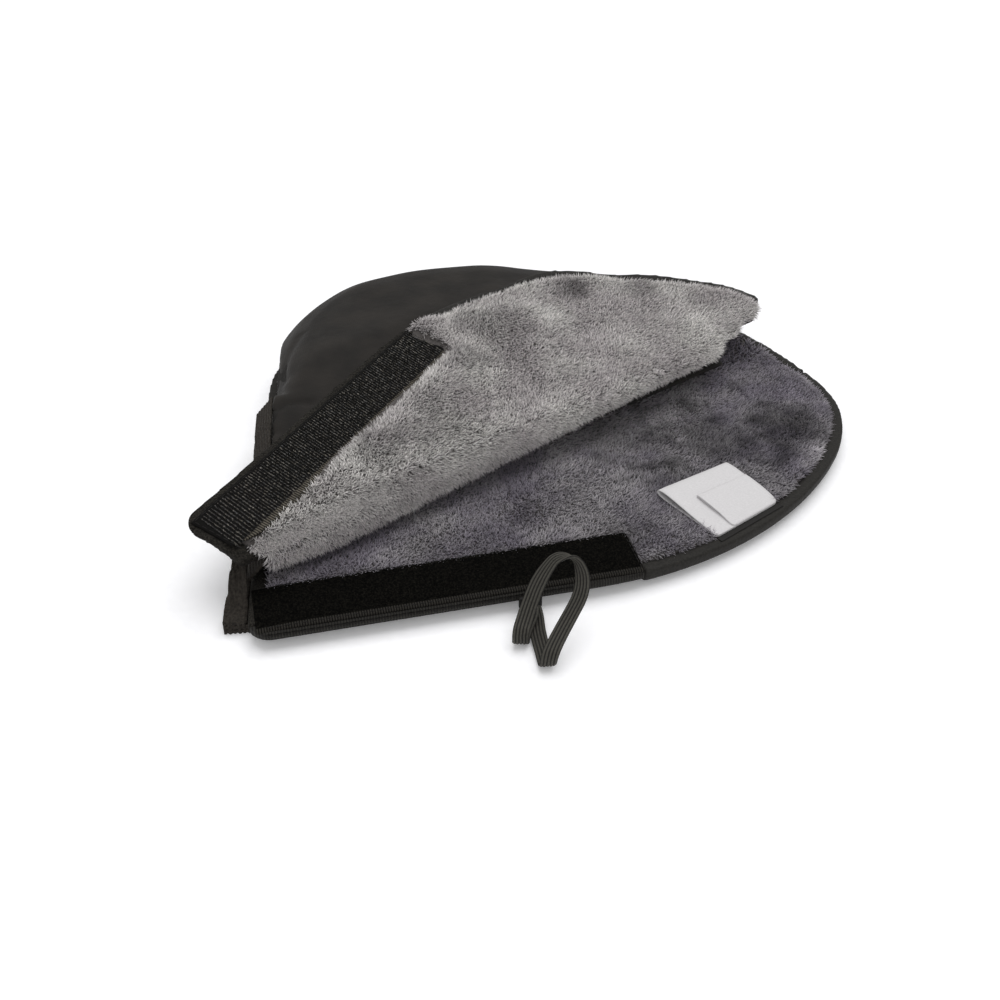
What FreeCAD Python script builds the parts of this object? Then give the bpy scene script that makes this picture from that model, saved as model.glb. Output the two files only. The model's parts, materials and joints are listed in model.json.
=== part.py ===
import FreeCAD, Part
import math
import os

# Hand warmer muff: a quilted plush-lined mitt that closes over a push bar.
# The lower panel lies on the table, lining up.  The upper panel is sewn to it along
# the back.  The front part of the upper panel is turned back over the rest of it on
# a slanting fold, so that both halves of the hook-and-loop closure show.
#
# Construction axes: X runs along the closure edge, Y runs back towards the seam, Z is up.
# Z = 0 is the table.  The corner where the closure edge meets the cuff edge is
# (0, 0) while the pieces are made, and the finished model is centred at the end.

# ---------------------------------------------------------------- driving sizes (mm)
# outline of a panel
PANEL_LENGTH = 285.0          # from the closure corner to the far end
CLOSURE_STRAIGHT = 133.0      # straight part of the closure edge
FRONT_CURVE_R = 171.0         # long curve from the closure edge to the far end
END_CURVE_R = 90.0            # rounded far end
END_CURVE_STOP = 115.0        # heading where the far end meets the back curve, degrees
BACK_CURVE_R = 150.0          # far end round to the back seam
CUFF_CORNER_R = 85.0          # back seam round to the cuff edge
CUFF_EDGE_ANGLE = 82.0        # cuff edge against the closure edge, degrees
CLOSURE_CORNER_R = 9.0        # rounded closure corner
SHARP_CORNER_R = 1.0          # an inner line with less than this is left sharp

# layers of a panel
SHELL_T = 1.2                 # woven outer shell
WADDING_T = 2.0               # thin quilt wadding
PILE_T = 5.0                  # plush lining with its pile
LOWER_EXTRA_PILE = 0.8        # the lower lining stands fuller than the others
BINDING_W = 6.0               # folded edge binding seen from above
BINDING_DROP = 0.6            # binding lies this much below the plush
EDGE_TUCK = 4.0               # lower panel's edge tucks under by this much
TOOL_OVERLAP = 1.0            # cutting blocks reach this far past what they cut

# closure tapes
TAPE_LENGTH = 147.0
TAPE_WIDTH = 25.0
TAPE_T = 1.2
TAPE_PROUD = 0.6              # a tape stands this much above the plush
LOOP_TAPE_SETBACK = 1.2       # loop tape to the closure edge
HOOK_TAPE_SETBACK = 6.0       # hook tape to the closure edge, past the turned hem
TAPE_END_SETBACK = 3.0        # tapes to the cuff edge
STITCH_W = 0.9
STITCH_T = 0.25
STITCH_INSET = 2.0

# slanting fold and turned-back flap
FOLD_START = 25.4             # from the closure corner along the cuff edge
FOLD_ANGLE = 23.4             # fold against the closure edge, degrees
FLAP_RISE = 12.0              # slope of the turned-back flap, degrees
FOLD_GAP = 1.2                # each side of the fold line
REST_CLEARANCE = 0.3          # between flap and rear panel where they lie together
CLOSED_CLEARANCE = 0.6        # between the two tapes when the muff is closed
FOLD_LINE_LENGTH = 270.0      # from the cuff edge to the tip
TIP_FLAP_TURN = -42.0         # flap edge at the tip against the fold, degrees
TIP_REAR_TURN = 62.0          # rear panel edge at the tip against the fold, degrees

# plush that rolls round the front of the fold: distance along the fold, bulge forwards
ROLL_STATIONS = [(10.0, 7.0), (36.0, 13.0), (124.0, 9.0), (236.0, 1.5)]
ROLL_LOW = 13.8
ROLL_HIGH = 26.0
ROLL_ROOT = 4.0               # the roll's ends start this far behind the fold

# puffed rear part of the upper panel
REAR_TOP = 39.5               # highest level of the rear panel
REAR_ROUND_R = 30.0           # roll of the rear panel down to the back seam
CUFF_PULL = 7.0               # the elastic pulls the upper cuff in by this much
ROLL_STEPS = 5                # flats that make the roll
SEAM_GAP = 0.3                # rear panel above the lower panel
POCKET_FROM_FOLD = 12.0       # solid strip behind the fold before the pocket starts
CUFF_MOUTH_BACK = 140.0       # far end of the wrist opening along the cuff edge

# wrist elastic, 12 mm wide
ELASTIC_START = 12.0          # from the closure corner along the cuff edge
ELASTIC_T = 2.0
ELASTIC_FLAT_OUT = 9.5        # free edge outside the lower cuff edge
ELASTIC_TUCKED = 1.8          # sewn edge under the lower cuff edge
ELASTIC_FLAP_GAP = 0.5        # front band outside the closed flap
ELASTIC_UPPER_OUT = 8.0       # free edge outside the pulled-in upper cuff edge
ELASTIC_DROOP = 9.0           # free edge below the sewn edge
ELASTIC_TURN = 8.0            # length of the turned and stitched front hem
ROLLED_ELASTIC_TURNS = (35.0, 62.0)   # stations of the band on the rear roll, degrees

# hanging loop of flat elastic, drawn as a round core
LOOP_AT = 107.0               # along the closure edge
LOOP_D = 3.0
LOOP_EXIT_Z = 4.6
LOOP_TACK = (9.0, 1.6, 5.0)   # bar tack over the sewn ends: length, depth, height

# care label
LABEL_AT = 26.0               # heading of the label's middle on the front curve, degrees
LABEL_W = 38.0
LABEL_L = 34.0
LABEL_T = 0.7
SMALL_LABEL_W = 28.0
SMALL_LABEL_L = 21.0
SMALL_LABEL_T = 0.5
LABEL_TACK_T = 0.4
LABEL_TACK_W = 3.0

# ---------------------------------------------------------------- worked-out levels
LOWER_TOP = SHELL_T + WADDING_T + PILE_T + LOWER_EXTRA_PILE
PANEL_T = SHELL_T + WADDING_T + PILE_T
BINDING_TOP = LOWER_TOP - BINDING_DROP
LOOP_TAPE_TOP = LOWER_TOP + TAPE_PROUD
FLAP_UNDER_CLOSED = LOOP_TAPE_TOP + CLOSED_CLEARANCE + TAPE_PROUD
FLAP_OVER_CLOSED = FLAP_UNDER_CLOSED + PANEL_T
AXIS_Z = FLAP_OVER_CLOSED + REST_CLEARANCE / 2
REAR_AT_FOLD = AXIS_Z - REST_CLEARANCE / 2 / math.cos(math.radians(FLAP_RISE))
REAR_BASE = LOWER_TOP + SEAM_GAP
CLOSING_ANGLE = 180.0 - FLAP_RISE
FAR = 1000.0                  # reach of the cutting blocks


def vec(x, y, z=0.0):
    return FreeCAD.Vector(x, y, z)


def heading(angle):
    """Unit vector in the plane, angle in degrees from +X."""
    return vec(math.cos(math.radians(angle)), math.sin(math.radians(angle)))


def on_circle(centre, radius, angle):
    """Point where a path that turns left round centre has this heading."""
    return centre + vec(math.sin(math.radians(angle)), -math.cos(math.radians(angle))) * radius


# ---------------------------------------------------------------- outline of a panel
def outline_centres():
    """Centres of the outline's tangent arcs, walked round from the closure edge."""
    front = vec(CLOSURE_STRAIGHT, FRONT_CURVE_R)
    reach = PANEL_LENGTH - CLOSURE_STRAIGHT - END_CURVE_R
    first_turn = math.degrees(math.asin(reach / (FRONT_CURVE_R - END_CURVE_R)))
    end = on_circle(front, FRONT_CURVE_R - END_CURVE_R, first_turn)
    back = on_circle(end, END_CURVE_R - BACK_CURVE_R, END_CURVE_STOP)
    depth = back.y + BACK_CURVE_R
    slope = math.radians(CUFF_EDGE_ANGLE)
    cuff_y = depth - CUFF_CORNER_R
    cuff = vec((CUFF_CORNER_R + cuff_y * math.cos(slope)) / math.sin(slope), cuff_y)
    corner_x = CLOSURE_CORNER_R * (1 + math.cos(slope)) / math.sin(slope)
    corner = vec(corner_x, CLOSURE_CORNER_R)
    return front, first_turn, end, back, cuff, corner, depth


FRONT_C, FRONT_TURN, END_C, BACK_C, CUFF_C, CORNER_C, DEPTH = outline_centres()
CUFF_DIR = heading(CUFF_EDGE_ANGLE)
CUFF_IN = vec(CUFF_DIR.y, -CUFF_DIR.x)


def arc(centre, radius, start, stop):
    """Arc edge from heading start to heading stop."""
    middle = (start + stop) / 2
    return Part.Arc(on_circle(centre, radius, start), on_circle(centre, radius, middle),
                    on_circle(centre, radius, stop)).toShape()


def outline(inset, z, sharp_corner=False):
    """Closed face of the panel's outline, moved inwards by inset, at level z."""
    cuff_stop = CUFF_EDGE_ANGLE + 180.0
    points_right = on_circle(FRONT_C, FRONT_CURVE_R - inset, 0.0)
    back_right = on_circle(BACK_C, BACK_CURVE_R - inset, 180.0)
    back_left = on_circle(CUFF_C, CUFF_CORNER_R - inset, 180.0)
    cuff_back = on_circle(CUFF_C, CUFF_CORNER_R - inset, cuff_stop)
    edges = [
        arc(FRONT_C, FRONT_CURVE_R - inset, 0.0, FRONT_TURN),
        arc(END_C, END_CURVE_R - inset, FRONT_TURN, END_CURVE_STOP),
        arc(BACK_C, BACK_CURVE_R - inset, END_CURVE_STOP, 180.0),
        Part.makeLine(back_right, back_left),
        arc(CUFF_C, CUFF_CORNER_R - inset, 180.0, cuff_stop),
    ]
    if sharp_corner or inset > CLOSURE_CORNER_R - SHARP_CORNER_R:
        slope = math.radians(CUFF_EDGE_ANGLE)
        corner = vec(inset * (1 + math.cos(slope)) / math.sin(slope), inset)
        edges += [Part.makeLine(cuff_back, corner), Part.makeLine(corner, points_right)]
    else:
        corner_r = CLOSURE_CORNER_R - inset
        corner_back = on_circle(CORNER_C, corner_r, cuff_stop)
        corner_right = on_circle(CORNER_C, corner_r, 360.0)
        edges += [Part.makeLine(cuff_back, corner_back),
                  arc(CORNER_C, corner_r, cuff_stop, 360.0),
                  Part.makeLine(corner_right, points_right)]
    face = Part.Face(Part.Wire(edges))
    face.translate(vec(0, 0, z))
    return face


def slab(inset, z_low, z_high):
    """Panel layer between two levels."""
    return outline(inset, z_low).extrude(vec(0, 0, z_high - z_low))


def tucked(inset_low, z_low, inset_high, z_high):
    """Panel layer whose edge slants from one inset to another."""
    wires = [outline(inset_low, z_low).OuterWire, outline(inset_high, z_high).OuterWire]
    return Part.makeLoft(wires, True, True)


def hollowed(body, inner, z_low, z_high):
    """Keep the edge band of a panel layer, outside the inner inset."""
    return body.cut(slab(inner, z_low - TOOL_OVERLAP, z_high + TOOL_OVERLAP))


def block(corner, along, length, across, width, z_low, z_high):
    """Upright block on a parallelogram: two directions in the plane and two lengths."""
    base = corner + vec(0, 0, z_low)
    points = [base, base + along * length, base + along * length + across * width,
              base + across * width, base]
    return Part.Face(Part.makePolygon(points)).extrude(vec(0, 0, z_high - z_low))


# ---------------------------------------------------------------- fold frame
FOLD_ORIGIN = CUFF_DIR * FOLD_START
FOLD_DIR = heading(FOLD_ANGLE)
FOLD_BACK = vec(-FOLD_DIR.y, FOLD_DIR.x)
FOLD_TIP = FOLD_ORIGIN + FOLD_DIR * FOLD_LINE_LENGTH
FLAP_SLOPE = math.radians(FLAP_RISE)


def beyond(point, along, side):
    """Half-space block on one side of a vertical plane through point."""
    start = point - along * FAR
    return block(start, along, 2 * FAR, side, FAR, -FAR, FAR)


def in_front_of_fold():
    return beyond(FOLD_ORIGIN - FOLD_BACK * FOLD_GAP, FOLD_DIR, FOLD_BACK * -1)


def behind_fold(distance):
    return beyond(FOLD_ORIGIN + FOLD_BACK * distance, FOLD_DIR, FOLD_BACK)


def past_tip(turn, side):
    """Half-space past the fold's far end; turn is the cut's angle against the fold."""
    cut = heading(FOLD_ANGLE + turn)
    outside = vec(cut.y, -cut.x) * side
    return beyond(FOLD_TIP, cut, outside)


def above_rear_plane(depth):
    """Half-space above the plane that the flap rests on, lowered square to itself."""
    tool = Part.makeBox(2 * FAR, 2 * FAR, FAR, vec(-FAR, -FAR, 0))
    tool.rotate(vec(0, 0, 0), vec(1, 0, 0), FLAP_RISE)
    tool.rotate(vec(0, 0, 0), vec(0, 0, 1), FOLD_ANGLE)
    tool.translate(FOLD_ORIGIN + vec(0, 0, REAR_AT_FOLD - depth / math.cos(FLAP_SLOPE)))
    return tool


def turned_back(shape):
    """Move a flap piece from its closed place to its turned-back place."""
    moved = shape.copy()
    moved.rotate(FOLD_ORIGIN + vec(0, 0, AXIS_Z), FOLD_DIR, -CLOSING_ANGLE)
    return moved


# ---------------------------------------------------------------- closure tapes
def tape(setback, z_low, z_high, inset=0.0):
    """Closure tape beside the closure edge, shrunk by inset on every side."""
    corner = vec(setback_x(setback) + inset, setback + inset)
    return Part.makeBox(TAPE_LENGTH - 2 * inset, TAPE_WIDTH - 2 * inset, z_high - z_low,
                        corner + vec(0, 0, z_low))


def setback_x(setback):
    """X of a tape's end, clear of the cuff edge along the tape's whole width."""
    lean = (setback + TAPE_WIDTH) / math.tan(math.radians(CUFF_EDGE_ANGLE))
    return TAPE_END_SETBACK + lean


def tape_stitching(setback, z_low, z_high):
    outer = tape(setback, z_low, z_high, STITCH_INSET)
    inner = tape(setback, z_low - TOOL_OVERLAP, z_high + TOOL_OVERLAP, STITCH_INSET + STITCH_W)
    return outer.cut(inner)


# ---------------------------------------------------------------- lower panel
def edge_parts(low_y, high_y, end_x):
    """Boxes that share the edge bands out: closure edge, then cuff edge, then far end."""
    cuff_end = CLOSURE_STRAIGHT / 2
    closure = Part.makeBox(end_x + FAR, low_y + FAR, FAR, vec(-FAR, -FAR, 0))
    cuff = Part.makeBox(cuff_end + FAR, high_y - low_y, FAR, vec(-FAR, low_y, 0))
    far_end = Part.makeBox(FAR, FOLD_TIP.y + FAR, FAR, vec(cuff_end, -FAR, 0))
    return closure, cuff, far_end


def lower_panel():
    tape_base = LOOP_TAPE_TOP - TAPE_T
    tape_room = tape(LOOP_TAPE_SETBACK, tape_base, LOOP_TAPE_TOP + TOOL_OVERLAP)
    shell_inset = EDGE_TUCK - SHELL_T
    edge_body = tucked(shell_inset, SHELL_T, 0, EDGE_TUCK).fuse(slab(0, EDGE_TUCK, BINDING_TOP))
    binding = hollowed(edge_body, BINDING_W, SHELL_T, BINDING_TOP).removeSplitter().cut(tape_room)
    tape_end = setback_x(LOOP_TAPE_SETBACK) + TAPE_LENGTH
    closure, cuff, far_end = edge_parts(BINDING_W, CUFF_MOUTH_BACK, tape_end)
    layers_top = SHELL_T + WADDING_T
    return {
        "lower_shell": tucked(EDGE_TUCK, 0, shell_inset, SHELL_T),
        "lower_wadding": slab(BINDING_W, SHELL_T, layers_top),
        "lower_lining": slab(BINDING_W, layers_top, LOWER_TOP).cut(tape_room),
        "closure_edge_binding": binding.common(closure),
        "lower_cuff_binding": binding.common(cuff),
        "far_end_binding": binding.common(far_end).cut(closure),
        "back_seam_allowance": binding.cut(closure).cut(cuff).cut(far_end),
        "loop_tape": tape(LOOP_TAPE_SETBACK, tape_base, LOOP_TAPE_TOP),
        "loop_tape_stitching": tape_stitching(LOOP_TAPE_SETBACK, LOOP_TAPE_TOP,
                                              LOOP_TAPE_TOP + STITCH_T),
    }


# ---------------------------------------------------------------- rear of the upper panel
def rear_low(inset):
    """Level where a rear layer starts; inner ones reach through the open underside."""
    return REAR_BASE - (TOOL_OVERLAP if inset else 0.0)


def rolled_prism(inset):
    """Puffed block on the panel's outline, its top edge rolled down to the seam."""
    radius = REAR_ROUND_R - inset
    shoulder = REAR_TOP - REAR_ROUND_R
    sections = [outline(inset, rear_low(inset), True).OuterWire]
    for step in range(ROLL_STEPS + 1):
        turn = math.radians(90.0 * step / ROLL_STEPS)
        pulled_in = inset + radius * (1 - math.cos(turn))
        level = shoulder + radius * math.sin(turn)
        sections.append(outline(pulled_in, level, True).OuterWire)
    return Part.makeLoft(sections, True, True)


def wrist_block(inset):
    """Arched block that carries the full height out to the cuff edge."""
    radius = REAR_ROUND_R - inset
    back = CUFF_MOUTH_BACK - inset
    top = REAR_TOP - inset
    low = rear_low(inset)
    roll_middle = math.radians(45.0)
    front_low = vec(0, 0, low)
    front_top = vec(0, 0, top)
    roll_start = vec(0, back - radius, top)
    roll_mid = vec(0, back - radius + radius * math.sin(roll_middle),
                   top - radius + radius * math.cos(roll_middle))
    roll_end = vec(0, back, top - radius)
    back_low = vec(0, back, low)
    edges = [Part.makeLine(front_low, front_top), Part.makeLine(front_top, roll_start),
             Part.Arc(roll_start, roll_mid, roll_end).toShape(),
             Part.makeLine(roll_end, back_low), Part.makeLine(back_low, front_low)]
    face = Part.Face(Part.Wire(edges))
    face.rotate(vec(0, 0, 0), vec(0, 0, 1), CUFF_EDGE_ANGLE - 90.0)
    return face.extrude(CUFF_IN * 2 * REAR_ROUND_R)


def rear_body(inset, fold_side=FOLD_GAP):
    """Rear panel as a solid block, inset from its outer surface, its cuff end open."""
    body = rolled_prism(inset).fuse(wrist_block(inset))
    body = body.cut(above_rear_plane(inset))
    body = body.common(behind_fold(fold_side))
    body = body.cut(beyond(CUFF_IN * CUFF_PULL, CUFF_DIR, CUFF_IN * -1))
    return body.cut(past_tip(TIP_REAR_TURN, 1)).removeSplitter()


def rear_panel():
    outer = rear_body(0)
    under_shell = rear_body(SHELL_T)
    under_wadding = rear_body(SHELL_T + WADDING_T)
    pocket = rear_body(PANEL_T, POCKET_FROM_FOLD)
    return {
        "rear_shell": outer.cut(under_shell),
        "rear_wadding": under_shell.common(outer).cut(under_wadding),
        "rear_lining": under_wadding.common(outer).cut(pocket),
    }


def fold_plush_roll():
    """Plush that bulges forwards round the fold and thins out towards the far end."""
    middle = (ROLL_LOW + ROLL_HIGH) / 2
    sections = []
    for along, bulge in ROLL_STATIONS:
        centre = FOLD_ORIGIN + FOLD_DIR * along
        root = centre + FOLD_BACK * ROLL_ROOT
        low = root + vec(0, 0, ROLL_LOW)
        high = root + vec(0, 0, ROLL_HIGH)
        front = centre - FOLD_BACK * bulge + vec(0, 0, middle)
        sections.append(Part.Wire([Part.Arc(low, front, high).toShape(), Part.makeLine(high, low)]))
    roll = Part.makeLoft(sections, True, True)
    flap_face = FOLD_ORIGIN - FOLD_BACK * (FOLD_GAP - REST_CLEARANCE)
    roll = roll.cut(turned_back(beyond(flap_face, FOLD_DIR, FOLD_BACK * -1)))
    return {"fold_plush_roll": roll.cut(behind_fold(FOLD_GAP))}


# ---------------------------------------------------------------- turned-back flap
def flap_layer(inset, low, high):
    """Flap layer in its closed place: between two levels, in front of the fold."""
    layer = slab(inset, low, high).common(in_front_of_fold())
    return layer.cut(past_tip(TIP_FLAP_TURN, -1))


def flap_panel():
    shell_under = FLAP_OVER_CLOSED - SHELL_T
    wadding_under = shell_under - WADDING_T
    hem_under = FLAP_UNDER_CLOSED + BINDING_DROP
    tape_low = FLAP_UNDER_CLOSED - TAPE_PROUD
    tape_top = tape_low + TAPE_T
    tape_room = tape(HOOK_TAPE_SETBACK, tape_low - TOOL_OVERLAP, tape_top)
    open_room = tape_room.fuse(tape_room.translated(vec(-TOOL_OVERLAP, -BINDING_W)))
    hem = hollowed(flap_layer(0, hem_under, shell_under), BINDING_W, hem_under, shell_under)
    hem = hem.cut(tape_room)
    tape_end = setback_x(HOOK_TAPE_SETBACK) + TAPE_LENGTH
    closure, cuff, _ = edge_parts(BINDING_W, CUFF_MOUTH_BACK, tape_end)
    stitching = tape_stitching(HOOK_TAPE_SETBACK, tape_low - STITCH_T, tape_low)
    closed = {
        "flap_shell": flap_layer(0, shell_under, FLAP_OVER_CLOSED),
        "flap_wadding": flap_layer(BINDING_W, wadding_under, shell_under),
        "flap_lining": flap_layer(BINDING_W, FLAP_UNDER_CLOSED, wadding_under).cut(open_room),
        "flap_closure_hem": hem.common(closure),
        "flap_cuff_hem": hem.common(cuff),
        "flap_end_binding": hem.cut(closure).cut(cuff),
        "hook_tape": tape(HOOK_TAPE_SETBACK, tape_low, tape_top).common(in_front_of_fold()),
        "hook_tape_stitching": stitching.common(in_front_of_fold()),
    }
    return {name: turned_back(shape) for name, shape in closed.items()}


# ---------------------------------------------------------------- wrist elastic
def cuff_point(along, out, z):
    """Point beside the cuff edge: distance along it, distance outside it, level."""
    return CUFF_DIR * along - CUFF_IN * out + vec(0, 0, z)


def band(stations):
    """Elastic band through stations: (along, sewn edge out, its top, free edge out, its top)."""
    sections = []
    for along, sewn_out, sewn_z, free_out, free_z in stations:
        corners = [cuff_point(along, sewn_out, sewn_z - ELASTIC_T),
                   cuff_point(along, free_out, free_z - ELASTIC_T),
                   cuff_point(along, free_out, free_z),
                   cuff_point(along, sewn_out, sewn_z)]
        sections.append(Part.makePolygon(corners + corners[:1]))
    return Part.makeLoft(sections, True, True)


def upper_station(along, level):
    return along, -CUFF_PULL, level, ELASTIC_UPPER_OUT - CUFF_PULL, level - ELASTIC_DROOP


def rear_level(along):
    """Top of the rear panel at its cuff edge, this far along it."""
    point = CUFF_DIR * along + CUFF_IN * CUFF_PULL
    rise = (point - FOLD_ORIGIN).dot(FOLD_BACK) * math.tan(FLAP_SLOPE)
    return min(REAR_AT_FOLD + rise, REAR_TOP)


def wrist_elastic():
    """Ribbed elastic: flat on the lower cuff, rising at the front, drooping above."""
    lean = math.sin(math.radians(CUFF_EDGE_ANGLE - FOLD_ANGLE))
    fold_along = FOLD_START + FOLD_GAP / lean + CUFF_PULL / math.tan(math.asin(lean))
    roll_start = CUFF_MOUTH_BACK - REAR_ROUND_R
    turned_top = 3 * ELASTIC_T
    lower = [(ELASTIC_START, -ELASTIC_TUCKED, ELASTIC_T, ELASTIC_FLAT_OUT, ELASTIC_T),
             (CUFF_MOUTH_BACK, -ELASTIC_TUCKED, ELASTIC_T, ELASTIC_FLAT_OUT, ELASTIC_T)]
    turned = [(ELASTIC_START, 0, 2 * ELASTIC_T, ELASTIC_FLAT_OUT, 2 * ELASTIC_T),
              (ELASTIC_START + ELASTIC_TURN, 0, 2 * ELASTIC_T, ELASTIC_FLAT_OUT, 2 * ELASTIC_T)]
    front_top = rear_level(fold_along)
    front = [(ELASTIC_START, ELASTIC_FLAP_GAP, turned_top, ELASTIC_FLAT_OUT, turned_top),
             (ELASTIC_START + ELASTIC_TURN, ELASTIC_FLAP_GAP, turned_top, ELASTIC_FLAT_OUT, turned_top),
             (fold_along, ELASTIC_FLAP_GAP, front_top, ELASTIC_FLAT_OUT, front_top - ELASTIC_DROOP)]
    upper = [upper_station(along, rear_level(along))
             for along in (fold_along, (fold_along + roll_start) / 2, roll_start)]
    for turn in ROLLED_ELASTIC_TURNS:
        along = roll_start + REAR_ROUND_R * math.sin(math.radians(turn))
        level = REAR_TOP - REAR_ROUND_R * (1 - math.cos(math.radians(turn)))
        upper.append(upper_station(along, level))
    return {
        "wrist_elastic_lower": band(lower),
        "wrist_elastic_hem": band(turned),
        "wrist_elastic_front": band(front),
        "wrist_elastic_upper": band(upper),
    }


# ---------------------------------------------------------------- hanging loop
LOOP_ROUTE = [
    (107.7, -2.45, 3.1), (107.5, -7.0, 3.1), (106.3, -13.4, 2.0), (105.6, -20.0, 1.7),
    (105.1, -27.4, 1.7), (104.4, -34.8, 1.7), (105.1, -34.9, 8.4), (109.8, -29.0, 10.6),
    (116.0, -22.8, 14.4), (121.3, -18.4, 19.4), (123.2, -14.4, 25.0), (121.8, -9.6, 30.4),
    (115.2, -6.6, 29.6), (110.9, -8.0, 25.6), (107.0, -9.8, 20.6), (103.3, -13.2, 14.6),
    (100.3, -16.8, 10.2), (97.8, -21.2, 8.6), (98.0, -20.9, 1.7), (100.4, -15.0, 2.0),
    (103.6, -10.8, 4.8), (106.2, -6.6, 6.0), (106.2, -2.45, 6.0)]


def rounded_path(points):
    """Straight runs joined by tangent arcs; returns the wire, its length and the radii."""
    points = [vec(*p) for p in points]
    edges = []
    radii = []
    start = points[0]
    for before, corner, after in zip(points, points[1:], points[2:]):
        back = (before - corner)
        ahead = (after - corner)
        shorter = min(back.Length, ahead.Length)
        turn = math.pi - back.getAngle(ahead)
        radius = 0.45 * shorter / math.tan(turn / 2)
        cut = 0.45 * shorter
        first = corner + back.normalize() * cut
        last = corner + ahead.normalize() * cut
        bisector = (back + ahead).normalize()
        middle = corner + bisector * (radius / math.cos(turn / 2) - radius)
        edges.append(Part.makeLine(start, first))
        edges.append(Part.Arc(first, middle, last).toShape())
        radii.append(radius)
        start = last
    edges.append(Part.makeLine(start, points[-1]))
    wire = Part.Wire(edges)
    return wire, wire.Length, radii


def hanging_loop():
    wire, length, radii = rounded_path(LOOP_ROUTE)
    start = wire.Edges[0]
    profile = Part.Wire(Part.makeCircle(LOOP_D / 2, start.firstVertex().Point,
                                        start.tangentAt(start.FirstParameter)))
    tube = wire.makePipeShell([profile], True, False)
    expected = math.pi * LOOP_D ** 2 / 4 * length
    print("loop length %.1f mm, volume %.0f of %.0f" % (length, tube.Volume, expected))
    print("loop radii", [round(r, 1) for r in radii])
    tack_length, tack_depth, tack_height = LOOP_TACK
    tack = Part.makeBox(tack_length, tack_depth, tack_height,
                        vec(LOOP_AT - tack_length / 2, -tack_depth, LOOP_EXIT_Z - tack_height / 2))
    return {"hanging_loop": tube, "loop_bar_tack": tack}


# ---------------------------------------------------------------- care label
def care_label():
    edge = on_circle(FRONT_C, FRONT_CURVE_R - BINDING_W, LABEL_AT)
    along = heading(LABEL_AT)
    inwards = vec(-along.y, along.x)
    start = edge - along * LABEL_W / 2
    small_start = edge + along * (LABEL_W / 2 - SMALL_LABEL_W)
    label_top = LOWER_TOP + LABEL_T
    return {
        "care_label": block(start, along, LABEL_W, inwards, LABEL_L, LOWER_TOP, label_top),
        "small_label": block(small_start, along, SMALL_LABEL_W, inwards, SMALL_LABEL_L,
                             label_top, label_top + SMALL_LABEL_T),
        "care_label_tack": block(start - inwards * LABEL_TACK_W, along, LABEL_W, inwards,
                                 LABEL_TACK_W, BINDING_TOP, BINDING_TOP + LABEL_TACK_T),
    }


# ---------------------------------------------------------------- assembly
CORD_NODES = ("hanging_loop",)


def build():
    """All nodes, centred on the table, and the shift that centred them."""
    nodes = {}
    for group in (lower_panel, rear_panel, fold_plush_roll, flap_panel, wrist_elastic,
                  hanging_loop, care_label):
        nodes.update(group())
    box = FreeCAD.BoundBox()
    for name, shape in nodes.items():
        if name not in CORD_NODES:
            box.add(shape.optimalBoundingBox(False))
    shift = vec(-box.Center.x, -box.Center.y, -box.ZMin)
    for shape in nodes.values():
        shape.translate(shift)
    return nodes, shift


def main():
    nodes, shift = build()
    os.makedirs("parts", exist_ok=True)
    for name, shape in nodes.items():
        shape.exportStep("parts/%s.step" % name)
        print("%-24s solids %d  volume %.0f" % (name, len(shape.Solids), shape.Volume))
    print("shift", shift)
    return nodes, shift


if __name__ == "__main__":
    main()
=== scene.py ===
# %% [markdown]
# # A hand warmer muff in Blender
# The muff is two quilted panels, black woven cloth outside and grey plush inside.  The lower
# panel lies on the table.  The upper panel is sewn to it along the back, and its front part
# is turned back on a slanting fold.  The CAD frame gives every place and size; this file
# gives the cloth, the pile, the tapes and the stitching.

# %% Load the frame
import json
import math

import bpy
from mathutils import Matrix, Vector
from mathutils.bvhtree import BVHTree


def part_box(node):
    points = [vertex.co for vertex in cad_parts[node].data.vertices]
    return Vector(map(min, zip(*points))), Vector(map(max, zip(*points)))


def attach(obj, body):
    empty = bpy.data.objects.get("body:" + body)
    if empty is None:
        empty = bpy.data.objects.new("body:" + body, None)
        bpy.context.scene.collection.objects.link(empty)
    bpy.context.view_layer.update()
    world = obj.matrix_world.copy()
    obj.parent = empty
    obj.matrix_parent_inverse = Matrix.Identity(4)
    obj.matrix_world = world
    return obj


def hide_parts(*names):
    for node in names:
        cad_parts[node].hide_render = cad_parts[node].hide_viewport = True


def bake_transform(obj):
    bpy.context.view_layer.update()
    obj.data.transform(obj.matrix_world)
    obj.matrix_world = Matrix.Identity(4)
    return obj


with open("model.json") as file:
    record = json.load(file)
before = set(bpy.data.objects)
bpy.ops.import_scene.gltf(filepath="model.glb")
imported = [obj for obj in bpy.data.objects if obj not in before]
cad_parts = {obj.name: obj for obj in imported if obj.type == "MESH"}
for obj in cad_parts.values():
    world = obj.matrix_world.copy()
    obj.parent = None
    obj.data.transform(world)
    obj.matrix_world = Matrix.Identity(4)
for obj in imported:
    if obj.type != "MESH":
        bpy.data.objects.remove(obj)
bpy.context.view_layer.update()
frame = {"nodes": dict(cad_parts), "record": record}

MM = 0.001
UP = Vector((0, 0, 1))

# %% [markdown]
# Every panel has the same outline, so the closure corner, where the closure edge meets the
# cuff edge, is the handiest point to measure from.  Two CAD pieces give it.  The turned-back
# flap is easiest to make where it lies when the muff is closed, plush side down above the
# lower panel; the fold joint then swings it back, just as the CAD does.

# %% Find the closure corner and the fold
PANEL_LENGTH = 285
corner = Vector((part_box("far_end_binding")[1].x - PANEL_LENGTH * MM,
                 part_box("closure_edge_binding")[0].y, 0))


def at(x, y, z=0.0):
    """Point so many millimetres from the closure corner."""
    return corner + Vector((x, y, z)) * MM


def from_corner(point):
    """Millimetres from the closure corner to a point."""
    return (point - corner) / MM


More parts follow.
